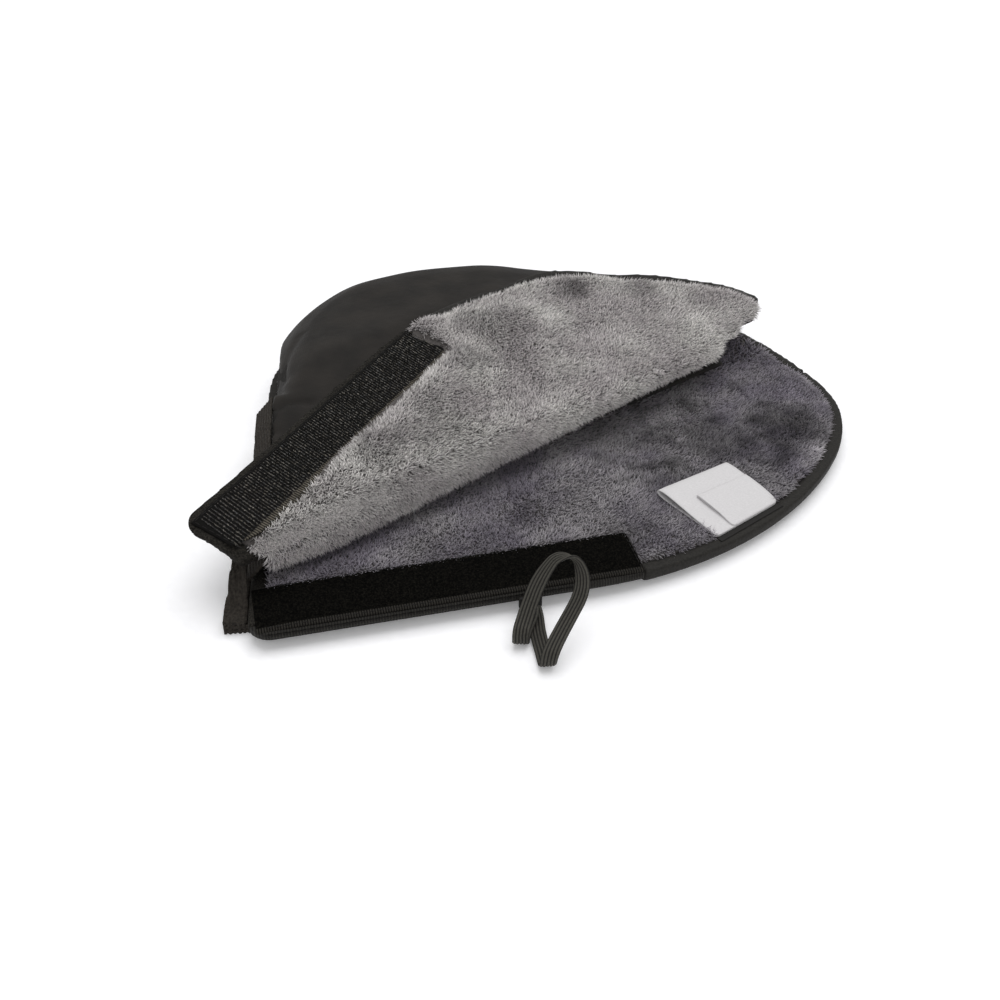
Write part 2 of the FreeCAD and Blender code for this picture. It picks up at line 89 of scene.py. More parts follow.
fold = next(j for j in frame["record"]["behaviour"]["joints"] if j["name"] == "flap_fold")
fold_point = Vector(fold["pos_m"])
fold_along = Vector(fold["axis"]).normalized()
fold_back = Vector((-fold_along.y, fold_along.x, 0))
swing_back = (Matrix.Translation(fold_point)
              @ Matrix.Rotation(-math.radians(fold["range_deg"][1]), 4, fold_along)
              @ Matrix.Translation(-fold_point))
swing_closed = swing_back.inverted()
flap_up = swing_back.to_3x3() @ -UP
print("closure corner", corner, "fold", fold_point, "along", fold_along)

# %% [markdown]
# The camera looks down at the muff from the front left with a 45 mm lens.

# %% Camera
LENS_MM = 45
SENSOR_MM = 36
CAMERA_DISTANCE = 0.5375
CAMERA_AZIMUTH = math.radians(-13.8)
CAMERA_ELEVATION = math.radians(36)
aim = at(113, 72)
towards_camera = Vector((math.sin(CAMERA_AZIMUTH) * math.cos(CAMERA_ELEVATION),
                         -math.cos(CAMERA_AZIMUTH) * math.cos(CAMERA_ELEVATION),
                         math.sin(CAMERA_ELEVATION)))
bpy.ops.object.camera_add(location=aim + towards_camera * CAMERA_DISTANCE)
camera = bpy.context.object
camera.rotation_euler = towards_camera.to_track_quat("Z", "Y").to_euler()
camera.data.lens = LENS_MM
camera.data.sensor_width = SENSOR_MM
bpy.context.scene.camera = camera

# %% [markdown]
# The light is that of a bright white room: even from all sides, with one wide window above
# and behind to the right and a weak one in front.  Both shine from far away, so the light is
# as strong at the far end as at the cuff.  Together they light a sheet of white paper to just
# about white, so a colour comes out much as it is written.  What the camera sees behind the
# muff is plain white.

# %% Lamps and room
ROOM_LIGHT = 0.5


def add_node(tree, kind, inputs=None, **settings):
    """Add a shader node, set its options, and fill or link its inputs."""
    made = tree.nodes.new("ShaderNode" + kind)
    for key, value in settings.items():
        setattr(made, key, value)
    for socket, value in (inputs or {}).items():
        if isinstance(value, bpy.types.NodeSocket):
            tree.links.new(value, made.inputs[socket])
        else:
            made.inputs[socket].default_value = value
    return made


def soft_window(name, direction, strength, width):
    """A wide far-off light; width is how many degrees of the sky it fills."""
    bpy.ops.object.light_add(type="SUN", location=aim + Vector(direction))
    made = bpy.context.object
    made.name = name
    made.data.energy = strength
    made.data.angle = math.radians(width)
    made.rotation_euler = Vector(direction).to_track_quat("Z", "Y").to_euler()


soft_window("overhead_window", (0.2, 0.25, 0.95), 1.6, 60)
soft_window("front_fill", (-0.4, -0.8, 0.7), 0.4, 60)

world = bpy.data.worlds.new("white_room")
world.use_nodes = True
bpy.context.scene.world = world
bpy.context.scene.view_settings.view_transform = "Standard"
sky = world.node_tree
sky.nodes.clear()
ray = add_node(sky, "LightPath")
seen = add_node(sky, "Math", {0: ray.outputs["Is Camera Ray"],
                              1: ray.outputs["Is Transmission Ray"]}, operation="MAXIMUM")
level = add_node(sky, "MapRange", {0: seen.outputs[0], 3: ROOM_LIGHT, 4: 1.0})
white = add_node(sky, "Background", {"Color": (1, 1, 1, 1), "Strength": level.outputs[0]})
add_node(sky, "OutputWorld", {"Surface": white.outputs[0]})

# %% [markdown]
# Colours are written as sRGB hex, the way a colour card gives them, and are turned to linear
# values in one place.  Pattern sizes are given in millimetres.

# %% Colour and material helpers
def colour(code):
    """Linear RGBA from an sRGB hex code such as #777472."""
    parts = [int(code[i:i + 2], 16) / 255 for i in (1, 3, 5)]
    return tuple(c / 12.92 if c <= 0.04045 else ((c + 0.055) / 1.055) ** 2.4
                 for c in parts) + (1.0,)


def per_mm(spacing):
    """Texture scale for a pattern that repeats every so many millimetres."""
    return 1 / (spacing * MM)


def new_material(name):
    """An empty node material, its tree and the object's own coordinates."""
    made = bpy.data.materials.new(name)
    made.use_nodes = True
    made.node_tree.nodes.clear()
    place = add_node(made.node_tree, "TexCoord").outputs["Object"]
    return made, made.node_tree, place


def shade_range(tree, value, dark, light, low=0.0, high=1.0):
    """Colour that runs from dark to light as value runs from low to high."""
    ramp = add_node(tree, "ValToRGB", {0: value}).color_ramp
    for stop, position, code in zip(ramp.elements, (low, high), (dark, light)):
        stop.position = position
        stop.color = colour(code)
    return tree.nodes[-1].outputs[0]


def bumped(tree, height, depth, before=None):
    """Surface normal for a relief that is so many millimetres deep."""
    inputs = {"Height": height, "Distance": depth * MM, "Strength": 1.0}
    if before is not None:
        inputs["Normal"] = before
    return add_node(tree, "Bump", inputs).outputs[0]


def surface(tree, **inputs):
    """Principled surface; the names are its socket names with _ for a space."""
    shader = add_node(tree, "BsdfPrincipled",
                      {key.replace("_", " "): value for key, value in inputs.items()})
    add_node(tree, "OutputMaterial", {"Surface": shader.outputs[0]})


def noise_of(tree, place, spacing, detail=2.0, rough=0.5, turn=0.0, stretch=None):
    """Noise with features so many millimetres apart, turned and stretched if wanted."""
    if stretch:
        place = add_node(tree, "Mapping", {0: place, "Rotation": (0, 0, turn),
                                           "Scale": stretch}).outputs[0]
    return add_node(tree, "TexNoise", {"Vector": place, "Scale": per_mm(spacing),
                                       "Detail": detail, "Roughness": rough}).outputs[0]


def math_of(tree, operation, first, second=0.0, third=0.0):
    """One step of arithmetic."""
    return add_node(tree, "Math", {0: first, 1: second, 2: third},
                    operation=operation).outputs[0]


def wave_across(tree, place, way, spacing):
    """Smooth ridges so many millimetres apart, counted along the direction way."""
    along = add_node(tree, "VectorMath", {0: place, 1: way}, operation="DOT_PRODUCT")
    turn = math_of(tree, "MULTIPLY", along.outputs["Value"], 2 * math.pi * per_mm(spacing))
    return math_of(tree, "MULTIPLY_ADD", math_of(tree, "SINE", turn), 0.5, 0.5)


# %% [markdown]
# The floor is a pale sheet.  It glows very slightly, so that it comes out white where the
# light falls freely and still takes the shadow close to the muff.

# %% Floor
bpy.ops.mesh.primitive_plane_add(size=6, location=(aim.x, aim.y, 0))
floor = bpy.context.object
floor.name = "studio_floor"
paper, tree, place = new_material("white_studio_paper")
grain = shade_range(tree, noise_of(tree, place, 3), "#f4f4f6", "#fafafc", 0.3, 0.7)
surface(tree, Base_Color=grain, Roughness=0.9, Specular_IOR_Level=0.1,
        Emission_Color=(1, 1, 1, 1), Emission_Strength=0.14)
floor.data.materials.append(paper)

# %% [markdown]
# Small helpers for working as by hand: pick one piece, add and apply one modifier, copy the
# shape of CAD pieces, push a shape to where it lies, and press a crease into a soft piece.

# %% Modelling helpers
def pick(piece):
    """Make piece the only selected and the active object."""
    bpy.ops.object.select_all(action="DESELECT")
    piece.select_set(True)
    bpy.context.view_layer.objects.active = piece


def finish_with(piece, kind, **settings):
    """Add one modifier to piece and apply it."""
    pick(piece)
    added = piece.modifiers.new(kind.lower(), kind)
    for key, value in settings.items():
        setattr(added, key, value)
    bpy.ops.object.modifier_apply(modifier=added.name)


def new_piece(name, mesh):
    """A piece that shows this mesh."""
    made = bpy.data.objects.new(name, mesh)
    bpy.context.scene.collection.objects.link(made)
    return made


def built_piece(name, points, faces):
    """A piece made of these faces between these points."""
    mesh = bpy.data.meshes.new(name)
    mesh.from_pydata(points, [], faces)
    return new_piece(name, mesh)


def face_outwards(piece, merged=False):
    """Point all faces of piece outwards, its loose triangles merged first if asked."""
    pick(piece)
    bpy.ops.object.mode_set(mode="EDIT")
    bpy.ops.mesh.select_all(action="SELECT")
    if merged:
        bpy.ops.mesh.remove_doubles(threshold=0.01 * MM)
    bpy.ops.mesh.normals_make_consistent(inside=False)
    bpy.ops.object.mode_set(mode="OBJECT")


def copy_of(name, node):
    """A new piece with the shape of a CAD node."""
    made = new_piece(name, frame["nodes"][node].data.copy())
    made.data.materials.clear()
    face_outwards(made, merged=True)
    return made


def skin_of(piece):
    """The faces of piece as they are now, for casting rays and for nearest places."""
    return BVHTree.FromPolygons([v.co for v in piece.data.vertices],
                                [tuple(f.vertices) for f in piece.data.polygons])


def drop_faces(piece, unwanted):
    """Delete the faces of piece for which unwanted(face) is true."""
    pick(piece)
    bpy.ops.object.mode_set(mode="EDIT")
    bpy.ops.mesh.select_mode(type="FACE")
    bpy.ops.mesh.select_all(action="DESELECT")
    bpy.ops.object.mode_set(mode="OBJECT")
    for face in piece.data.polygons:
        face.select = bool(unwanted(face))
    bpy.ops.object.mode_set(mode="EDIT")
    bpy.ops.mesh.delete(type="FACE")
    bpy.ops.object.mode_set(mode="OBJECT")


def ripple(piece, size, height):
    """Raise and lower the surface in soft patches of this size."""
    clouds = bpy.data.textures.new("soft_patches", "CLOUDS")
    clouds.noise_scale = size * MM
    clouds.noise_depth = 1
    finish_with(piece, "DISPLACE", texture=clouds, texture_coords="LOCAL",
                strength=height * MM, mid_level=0.5)


def eased(share):
    """Share from 0 to 1 that starts and stops gently."""
    share = max(0.0, min(1.0, share))
    return share * share * (3 - 2 * share)


def hump(place, middle, reach):
    """1 at middle, falling smoothly to 0 this far from it, in plan."""
    gap = ((place.x - middle[0]) ** 2 + (place.y - middle[1]) ** 2) / reach ** 2
    return (1 - gap) ** 2 if gap < 1 else 0.0


def reshape(piece, give, turned=None):
    """Move each vertex by give(place), both in mm; turned is where the shape is measured."""
    if turned:
        piece.data.transform(turned)
    for vertex in piece.data.vertices:
        vertex.co += give(from_corner(vertex.co)) * MM
    if turned:
        piece.data.transform(turned.inverted())
    piece.data.update()


def press(piece, line, depth, width):
    """Press a crease of this depth and width, in mm, along a line of points; minus pulls."""
    moves = []
    for vertex in piece.data.vertices:
        place = from_corner(vertex.co)
        gap = min(distance_to(place, a, b) for a, b in zip(line, line[1:]))
        if gap < 3 * width:
            moves.append((vertex, vertex.normal * (-depth * math.exp(-(gap / width) ** 2) * MM)))
    for vertex, move in moves:
        vertex.co += move


def distance_to(point, a, b):
    """Distance from a point to the line from a to b."""
    a, b = Vector(a), Vector(b)
    share = max(0.0, min(1.0, (point - a).dot(b - a) / (b - a).length_squared))
    return (point - a - (b - a) * share).length


def dress(piece, body, slot, material, *nodes):
    """Give piece its material, the body it rides on and the nodes it stands for; slot is not
    used.
    """
    piece.data.materials.clear()
    piece.data.materials.append(material)
    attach(piece, body)
    if nodes:
        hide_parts(*nodes)
    print(piece.name, len(piece.data.polygons), "faces")
    return piece

# %% [markdown]
# The hanging loop is flat elastic, 6.2 mm wide, sewn into the closure edge by both ends.
# One smooth spline carries it: out along the table, over in a fold and up the right limb,
# across the top, down the left limb, and back under it in a second fold.  A flat band twists
# as it goes, so its width direction is given at every point of the route.

# %% Hanging loop
LOOP_ROUTE = [
    (107.7, -2.45, 3.1), (107.5, -7.0, 3.1), (106.3, -13.4, 2.0), (105.6, -20.0, 1.7),
    (105.1, -27.4, 1.7), (104.4, -34.8, 1.7), (105.1, -34.9, 8.4), (109.8, -29.0, 10.6),
    (116.0, -22.8, 14.4), (121.3, -18.4, 19.4), (123.2, -14.4, 25.0), (121.8, -9.6, 30.4),
    (115.2, -6.6, 29.6), (110.9, -8.0, 25.6), (107.0, -9.8, 20.6), (103.3, -13.2, 14.6),
    (100.3, -16.8, 10.2), (97.8, -21.2, 8.6), (98.0, -20.9, 1.7), (100.4, -15.0, 2.0),
    (103.6, -10.8, 4.8), (106.2, -6.6, 6.0), (106.2, -2.45, 6.0)]
LOOP_WIDTH_WAY = [
    (1, 0, 0), (1, 0, 0), (1, -0.1, 0), (1, -0.1, 0), (1, -0.1, 0), (0.98, -0.15, 0),
    (0.92, -0.38, 0), (0.76, -0.63, 0), (0.69, -0.71, 0.05), (0.69, -0.71, 0.05),
    (0.66, -0.7, 0.2), (0.3, -0.75, 0.55), (0.15, -0.97, 0.1), (0.45, -0.88, 0.05),
    (0.7, -0.65, -0.05), (0.75, -0.58, -0.1), (0.88, -0.4, -0.1), (0.98, -0.15, 0),
    (0.98, -0.15, 0), (0.85, -0.5, 0), (0.9, -0.35, 0), (1, 0, 0), (1, 0, 0)]
LOOP_WIDTH = 6.2
LOOP_THICK = 1.4
LOOP_RIBS = 5

loop_curve = bpy.data.curves.new("loop_route", "CURVE")
loop_curve.dimensions = "3D"
loop_curve.resolution_u = 10
spline = loop_curve.splines.new("NURBS")
spline.points.add(len(LOOP_ROUTE) - 1)
for point, (x, y, z) in zip(spline.points, LOOP_ROUTE):
    point.co = (*at(x, y, z), 1)
spline.order_u = 3
spline.use_endpoint_u = True
route_object = new_piece("loop_route", loop_curve)
loop_path = [v.co.copy() for v in bpy.data.meshes.new_from_object(route_object).vertices]
bpy.data.objects.remove(route_object)


def rib_profile():
    """Cross-section of the flat elastic, ribbed on both faces, with each point's rib height."""
    steps = 6 * LOOP_RIBS
    face = []
    for step in range(steps + 1):
        u = step / steps
        rib = abs(math.sin(math.pi * LOOP_RIBS * u))
        edge = min(1.0, 4.5 * min(u, 1 - u) + 0.25)
        face.append(((u - 0.5) * LOOP_WIDTH, LOOP_THICK * edge * (0.22 + 0.28 * rib), rib))
    return face + [(w, -t, rib) for w, t, rib in reversed(face)]


def make_ribbon(name, path, ways):
    """Band along path; its width points the way that ways gives, spread along path."""
    profile = rib_profile()
    points, faces = [], []
    last = len(path) - 1
    for i, centre in enumerate(path):
        along = (path[min(i + 1, last)] - path[max(i - 1, 0)]).normalized()
        share = i / last * (len(ways) - 1)
        k = min(int(share), len(ways) - 2)
        way = Vector(ways[k]).lerp(Vector(ways[k + 1]), share - k)
        way = (way - along * way.dot(along)).normalized()
        up = along.cross(way)
        points += [centre + way * (w * MM) + up * (t * MM) for w, t, _ in profile]
    n = len(profile)
    for i in range(last):
        for j in range(n):
            k = (j + 1) % n
            faces.append((i * n + j, i * n + k, (i + 1) * n + k, (i + 1) * n + j))
    faces += [tuple(reversed(range(n))), tuple(range(last * n, last * n + n))]
    made = built_piece(name, points, faces)
    ribs = [rib for _ in path for _, _, rib in profile]
    made.data.attributes.new("rib", "FLOAT", "POINT").data.foreach_set("value", ribs)
    face_outwards(made)
    bpy.ops.object.shade_smooth()
    return made


# braided elastic: yarn over rubber cores; its colour runs to black in the grooves between the
# ribs, which is painted shade
loop_elastic, tree, place = new_material("black_ribbed_flat_elastic")
knit = noise_of(tree, place, 0.7, 1.0)
rib = add_node(tree, "Attribute", attribute_name="rib").outputs["Fac"]
ribs_with_groove_shade = math_of(tree, "MULTIPLY", rib, math_of(tree, "MULTIPLY_ADD", knit, 0.9, 0.45))
surface(tree, Base_Color=shade_range(tree, ribs_with_groove_shade, "#0b0a09", "#46443e", 0.1, 0.9),
        Roughness=0.7, Specular_IOR_Level=0.25, Normal=bumped(tree, knit, 0.12))
hanging_loop = make_ribbon("hanging_loop_elastic", loop_path, LOOP_WIDTH_WAY)
dress(hanging_loop, "hanging_loop", "loop_elastic", loop_elastic, "hanging_loop")
print("loop length", sum((b - a).length for a, b in zip(loop_path, loop_path[1:])))

# %% [markdown]
# The cloths, tapes and threads.  Real threads are 0.2 to 0.3 mm across; a weave that fine
# can't be seen at this distance, so it is drawn about twice as coarse.

# %% Cloth, tape and thread materials
# brushed polyester: even warm black, with hardly any bloom where light grazes it
shell_cloth, tree, place = new_material("black_brushed_polyester_shell")
weave = math_of(tree, "MULTIPLY", wave_across(tree, place, (1, 0, 0), 0.8),
                wave_across(tree, place, (0, 0.8, 0.6), 0.8))
bloom = noise_of(tree, place, 16, 3.0)
surface(tree, Base_Color=shade_range(tree, bloom, "#1f1d1b", "#292623", 0.35, 0.65),
        Roughness=0.75, Specular_IOR_Level=0.15, Sheen_Weight=0.05, Sheen_Roughness=0.4,
        Normal=bumped(tree, weave, 0.05, bumped(tree, noise_of(tree, place, 4), 0.2)))

# folded tape round the far end: smooth, matt, with a slight slub
binding_tape, tree, place = new_material("black_woven_edge_binding")
slub = noise_of(tree, place, 0.9, 2.0)
surface(tree, Base_Color=shade_range(tree, slub, "#1a1917", "#2c2a27", 0.25, 0.75),
        Roughness=0.7, Specular_IOR_Level=0.2, Normal=bumped(tree, slub, 0.1))

# the same tape at the closure edge, sewn down closely: each stitch draws a rib across it
sewn_binding, tree, place = new_material("black_close_sewn_binding")
draw = math_of(tree, "MULTIPLY", wave_across(tree, place, (1, 0, 0), 1.1),
               noise_of(tree, place, 1.5, 2.0))
surface(tree, Base_Color=shade_range(tree, draw, "#151412", "#302e2a", 0.1, 0.6),
        Roughness=0.7, Specular_IOR_Level=0.2, Normal=bumped(tree, draw, 0.35))

# the cuff's binding and the flap's hems are brushed up by wear and show fine grey specks
worn_binding, tree, place = new_material("black_worn_cuff_binding")
worn = noise_of(tree, place, 0.7, 4.0, 0.8)
surface(tree, Base_Color=shade_range(tree, worn, "#0f0e0c", "#3f3c37", 0.42, 0.7),
        Roughness=0.8, Specular_IOR_Level=0.1, Normal=bumped(tree, worn, 0.4))

# loop pile: a mat of tiny open loops that swallows the light.  Its front selvedge has no
# loops, and there the cross threads of the tape show as fine ribs.
loop_velvet, tree, place = new_material("black_loop_tape_pile")
fuzz = noise_of(tree, place, 0.7, 4.0, 0.8)
mat = shade_range(tree, fuzz, "#000000", "#26241f", 0.47, 0.74)
thread = wave_across(tree, place, (1, 0, 0), 1.0)
ribs = shade_range(tree, thread, "#0c0b0a", "#3a3834")
forward = add_node(tree, "SeparateXYZ", {0: place}).outputs[1]
front_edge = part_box("loop_tape")[0].y
selvedge = add_node(tree, "MapRange", {0: forward, 1: front_edge + 2.0 * MM,
                                       2: front_edge + 2.4 * MM, 3: 1.0, 4: 0.0}).outputs[0]
both = add_node(tree, "Mix", {0: selvedge, 6: mat, 7: ribs}, data_type="RGBA").outputs[2]
surface(tree, Base_Color=both, Roughness=0.95, Specular_IOR_Level=0.05,
        Normal=bumped(tree, fuzz, 0.7))

# moulded nylon hooks, near black, with bright specks painted into their colour as glints
hook_nylon, tree, place = new_material("black_moulded_nylon_hooks")
glint_speck = noise_of(tree, place, 1.0, 2.0)
surface(tree, Base_Color=shade_range(tree, glint_speck, "#100f0d", "#837d73", 0.48, 0.76),
        Roughness=0.35, Specular_IOR_Level=0.6, Normal=bumped(tree, glint_speck, 0.1))

# woven ground of the hook tape: almost black between the hooks, with fine cross ribs on the
# strip next to the plush, where no hooks stand.  The flap's edge lies a little further out
# than in the CAD, as the real one does, and the tape runs close along it.
FLAP_EDGE_OUT = 4.8
TAPE_OUT = 2.6
INNER_SELVEDGE = 3.8
tape_along = swing_back.to_3x3() @ Vector((1, 0, 0))
tape_across = swing_back.to_3x3() @ Vector((0, 1, 0))
bare_strip = (max(v.co.dot(tape_across) for v in frame["nodes"]["hook_tape"].data.vertices)
              - (FLAP_EDGE_OUT + TAPE_OUT + INNER_SELVEDGE) * MM)
tape_ground, tree, place = new_material("black_woven_tape_ground")
rows = math_of(tree, "MULTIPLY", wave_across(tree, place, tape_along, 1.1),
               noise_of(tree, place, 1.6, 2.0))
reach = add_node(tree, "VectorMath", {0: place, 1: tape_across}, operation="DOT_PRODUCT")
on_strip = add_node(tree, "MapRange", {0: reach.outputs["Value"], 1: bare_strip - 0.2 * MM,
                                       2: bare_strip + 0.3 * MM}).outputs[0]
ribbed = math_of(tree, "MULTIPLY", rows, on_strip)
surface(tree, Base_Color=shade_range(tree, ribbed, "#0b0a09", "#625d54", 0.02, 0.5),
        Roughness=0.8, Specular_IOR_Level=0.1, Normal=bumped(tree, ribbed, 0.25))

# filament polyester thread, black on black: only its shine sets it off
black_thread, tree, place = new_material("black_polyester_thread")
surface(tree, Base_Color=shade_range(tree, noise_of(tree, place, 0.5), "#0f0e0d", "#201e1c"),
        Roughness=0.6, Specular_IOR_Level=0.2)

# knitted elastic: rubber cores wrapped in matt yarn
rib_elastic, tree, place = new_material("black_ribbed_wrist_elastic")
stitch_noise = noise_of(tree, place, 0.9, 2.0)
surface(tree, Base_Color=shade_range(tree, stitch_noise, "#201d1a", "#393530", 0.3, 0.7),
        Roughness=0.85, Specular_IOR_Level=0.15, Normal=bumped(tree, stitch_noise, 0.2))

# bonded polyester wadding, seen only at a cut edge under the flap: coloured near black as painted
# shadow
quilt_wadding, tree, place = new_material("polyester_wadding_painted_shadow_dark")
fibre = noise_of(tree, place, 2.0, 4.0)
surface(tree, Base_Color=shade_range(tree, fibre, "#1f1e1d", "#2e2d2b"), Roughness=0.95,
        Specular_IOR_Level=0.1, Normal=bumped(tree, fibre, 0.5))

# satin label cloth, left bare: white with a faint silky grain
label_satin, tree, place = new_material("white_satin_label")
satin = noise_of(tree, place, 0.9, 1.0, turn=math.radians(26), stretch=(1, 5, 1))
surface(tree, Base_Color=shade_range(tree, satin, "#c8c6c7", "#d6d4d5", 0.3, 0.7),
        Roughness=0.5, Specular_IOR_Level=0.35, Normal=bumped(tree, satin, 0.03))


# %% [markdown]
# The plush is a knitted back with a dense brushed pile.  Each hair is coloured dark at its root
# and light at its tip, painted shade for the depth of the pile.  Where the nap has been stroked
# the other way the dark roots show, so hands leave dark purple-grey smudges and pale swirls;
# each is given by its middle and its reach, and by how much darker it is.

# %% Plush materials
def stroked(tree, place, marks):
    """How much light is left after the smudges; 1 is untouched pile."""
    left = None
    wobble = noise_of(tree, place, 14, 3.0)
    for point, reach, darker in marks:
        gap = add_node(tree, "VectorMath", {0: place, 1: tuple(point)}, operation="DISTANCE")
        ragged = math_of(tree, "MULTIPLY", gap.outputs["Value"],
                         math_of(tree, "MULTIPLY_ADD", wobble, 3.0, -0.5))
        mark = add_node(tree, "MapRange", {0: ragged, 1: 0.0, 2: reach * MM, 3: 1.0 - darker,
                                           4: 1.0}, interpolation_type="SMOOTHERSTEP").outputs[0]
        left = mark if left is None else math_of(tree, "MULTIPLY", left, mark)
    return left


def plush_material(name, root, tip, tint_dark, tint_light, spacing, marks, vary):
    """Pile hair: darker towards the root as painted shade, every hair a little different, in
    brushed patches.
    """
    made, tree, place = new_material(name)
    height = add_node(tree, "Attribute", attribute_name="tip").outputs["Fac"]
    shade = add_node(tree, "Attribute", attribute_name="shade").outputs["Fac"]
    # hairs coloured dark at the root and light at the tip: painted shade deep in the pile
    hair = shade_range(tree, height, root, tip, 0.0, 0.75)
    patch = shade_range(tree, noise_of(tree, place, spacing, 3.0), tint_dark, tint_light,
                        0.38, 0.62)
    tinted = add_node(tree, "Mix", {0: 1.0, 6: hair, 7: patch}, data_type="RGBA",
                      blend_type="MULTIPLY").outputs[2]
    own = add_node(tree, "MapRange", {0: shade, 3: 1 - vary, 4: 1 + vary}).outputs[0]
    each = math_of(tree, "MULTIPLY", own, stroked(tree, place, marks))
    varied = add_node(tree, "VectorMath", {0: tinted, 3: each}, operation="SCALE").outputs[0]
    surface(tree, Base_Color=varied, Roughness=0.8, Specular_IOR_Level=0.1)
    return made


FLAP_MARKS = [
    (at(122, 148, 41), 16, 0.35), (at(110, 121, 37), 15, 0.45), (at(173, 175, 42), 14, 0.5),
    (at(208, 173, 39), 12, 0.3), (at(60, 70, 31), 22, 0.25), (at(86, 84, 32), 18, 0.2),
    (at(237, 164, 35), 12, 0.15)]
LOWER_MARKS = [
    (at(251, 84, 9), 38, 0.6), (at(215, 80, 9), 44, 0.55), (at(262, 106, 9), 14, -0.5),
    (at(256, 60, 9), 12, -0.8), (at(175, 92, 9), 40, 0.45), (at(185, 50, 9), 26, 0.35),
    (at(150, 22, 9), 18, 0.35)]
flap_fibre = plush_material("grey_plush_pile_turned_up", "#3b3836", "#f0edea", "#e8e5e8",
                            "#ffffff", 26, FLAP_MARKS, 0.28)
# the lower panel's pile is the same plush as the flap's, given darker colours as painted shade
# under the raised upper panel
shaded_lower_fibre = plush_material("grey_plush_pile_lower_painted_shade", "#434144", "#bcb8bb", "#cfccd6",
                             "#ffffff", 24, LOWER_MARKS, 0.15)

# knit back under the pile, coloured dark grey: painted shade at the bottom of the pile, seen
# between the tufts
plush_back, tree, place = new_material("grey_plush_knit_back")
knit_back = noise_of(tree, place, 1.5, 3.0)
surface(tree, Base_Color=shade_range(tree, knit_back, "#3f3c3b", "#6b6765"),
        Roughness=0.95, Specular_IOR_Level=0.1, Normal=bumped(tree, knit_back, 0.8))

# %% [markdown]
# The CAD gives each soft layer as a plain slab.  Its shape is copied, turned into an even
# mesh, pushed into the way the real cloth lies and rounded, so its edges read as cloth
# folded over wadding.  How a layer lies is written as how far each point gives way, in mm.
# Along the fold the upper panel lifts off the lower one, more and more towards the tip, and
# leaves a dark hollow under it.

# %% How the soft layers give
FOLD_UNDERSIDE = [(0, 17), (60, 18.5), (100, 20.5), (140, 22.3), (160, 23), (200, 25.2),
                  (220, 26), (300, 27)]      # mm along the fold, level of its soft underside


def closed_box(node):
    """Lowest and highest corner of a flap node in mm, with the flap turned down."""
    ends = [from_corner(swing_closed @ v.co) for v in frame["nodes"][node].data.vertices]
    return (Vector([min(p[i] for p in ends) for i in range(3)]),
            Vector([max(p[i] for p in ends) for i in range(3)]))


def between(table, value):
    """Straight-line reading from a table of pairs."""
    for (a, low), (b, high) in zip(table, table[1:]):
        if value <= b:
            break
    return low + (high - low) * max(0.0, min(1.0, (value - a) / (b - a)))


def behind_fold(place):
    """Millimetres behind the fold, in plan."""
    return (at(*place) - fold_point).dot(fold_back) / MM


def along_fold(place):
    """Millimetres along the fold from the cuff."""
    return (at(*place) - fold_point).dot(fold_along) / MM


REAR_DRAWN_BACK = 6.5
flap_plush_level = closed_box("flap_lining")[0].z
flap_cloth_level = closed_box("flap_shell")[1].z
hook_low, hook_high = closed_box("hook_tape")
tip = from_corner(fold_point) + fold_along * 270


def end_give(place):
    """The lower panel's far end is drawn in a little where its binding was sewn tight."""
    return Vector((-3.5, -3.5, 0)) * hump(place, (280, 140), 50)


def foot_give(place):
    """The padded front edge is round, so its foot stands back from its belly."""
    foot = (1 - eased(place.z / 6)) * (1 - eased((place.y - 2) / 18))
    return Vector((0, 5, 0)) * foot * (1 - eased((place.x - 150) / 70))


def tape_give(place, share=1.0):
    """The flap's front leans out, and its far half sags between the tape and the tip."""
    out = share * (1 - eased((place.x - 185) / 55))
    return (Vector((0, -FLAP_EDGE_OUT * out, 0))
            + Vector((0, -2, -4.5)) * hump(place, (185, 42), 30)
            + Vector((1, -4, -3)) * hump(place, (235, 30), 35)
            + Vector((0, 0, -2.5)) * hump(place, (285, 112), 30))


def flap_give(place):
    """The flap thins towards the fold, and its tip is rounded."""
    front = -behind_fold(place)
    share = (1 - eased((place.y - hook_high.y) / 31)) * eased(front / 12)
    depth = (place.z - flap_plush_level) / (flap_cloth_level - flap_plush_level)
    under = between(FOLD_UNDERSIDE, along_fold(place)) - flap_cloth_level
    lift = max(0.0, under) * (1 - eased(front / 25))
    drop = 3 * (1 - eased(front / 9))
    lift += 6 * (1 - eased((place.x - 4) / 26)) * share
    return (tape_give(place, share) + UP * ((1 - depth) * drop - depth * lift)
            + Vector((0, -9.7, 0)) * hump(place, tip, 26))


def towards_tip(along, far):
    """Grows from 0 at mid fold to far at the tip, so many mm along the fold."""
    return far * eased((along - 100) / 120)


def rear_give(place):
    """The rear panel's front edge is drawn back under the fold, most at its foot and tip."""
    foot = 8 * (1 - eased((place.z - 9.3) / 8))
    back = foot + towards_tip(along_fold(place), REAR_DRAWN_BACK)
    return (fold_back * back * (1 - eased(behind_fold(place) / 30))
            + Vector((-3, 12, 0)) * hump(place, tip, 40) + end_give(place))


def pocket_sag(place):
    """The puffed panel sinks towards the far end, and a little behind the wrist."""
    high = max(0.0, min(1.0, (place.z - 10) / 28))
    far = (eased((place.x - 135) / 50) * eased((place.y - 175) / 25)
           * eased((245 - place.x) / 45))
    return rear_give(place) - UP * (7 * far * high + 2.2 * hump(place, (50, 190), 45))


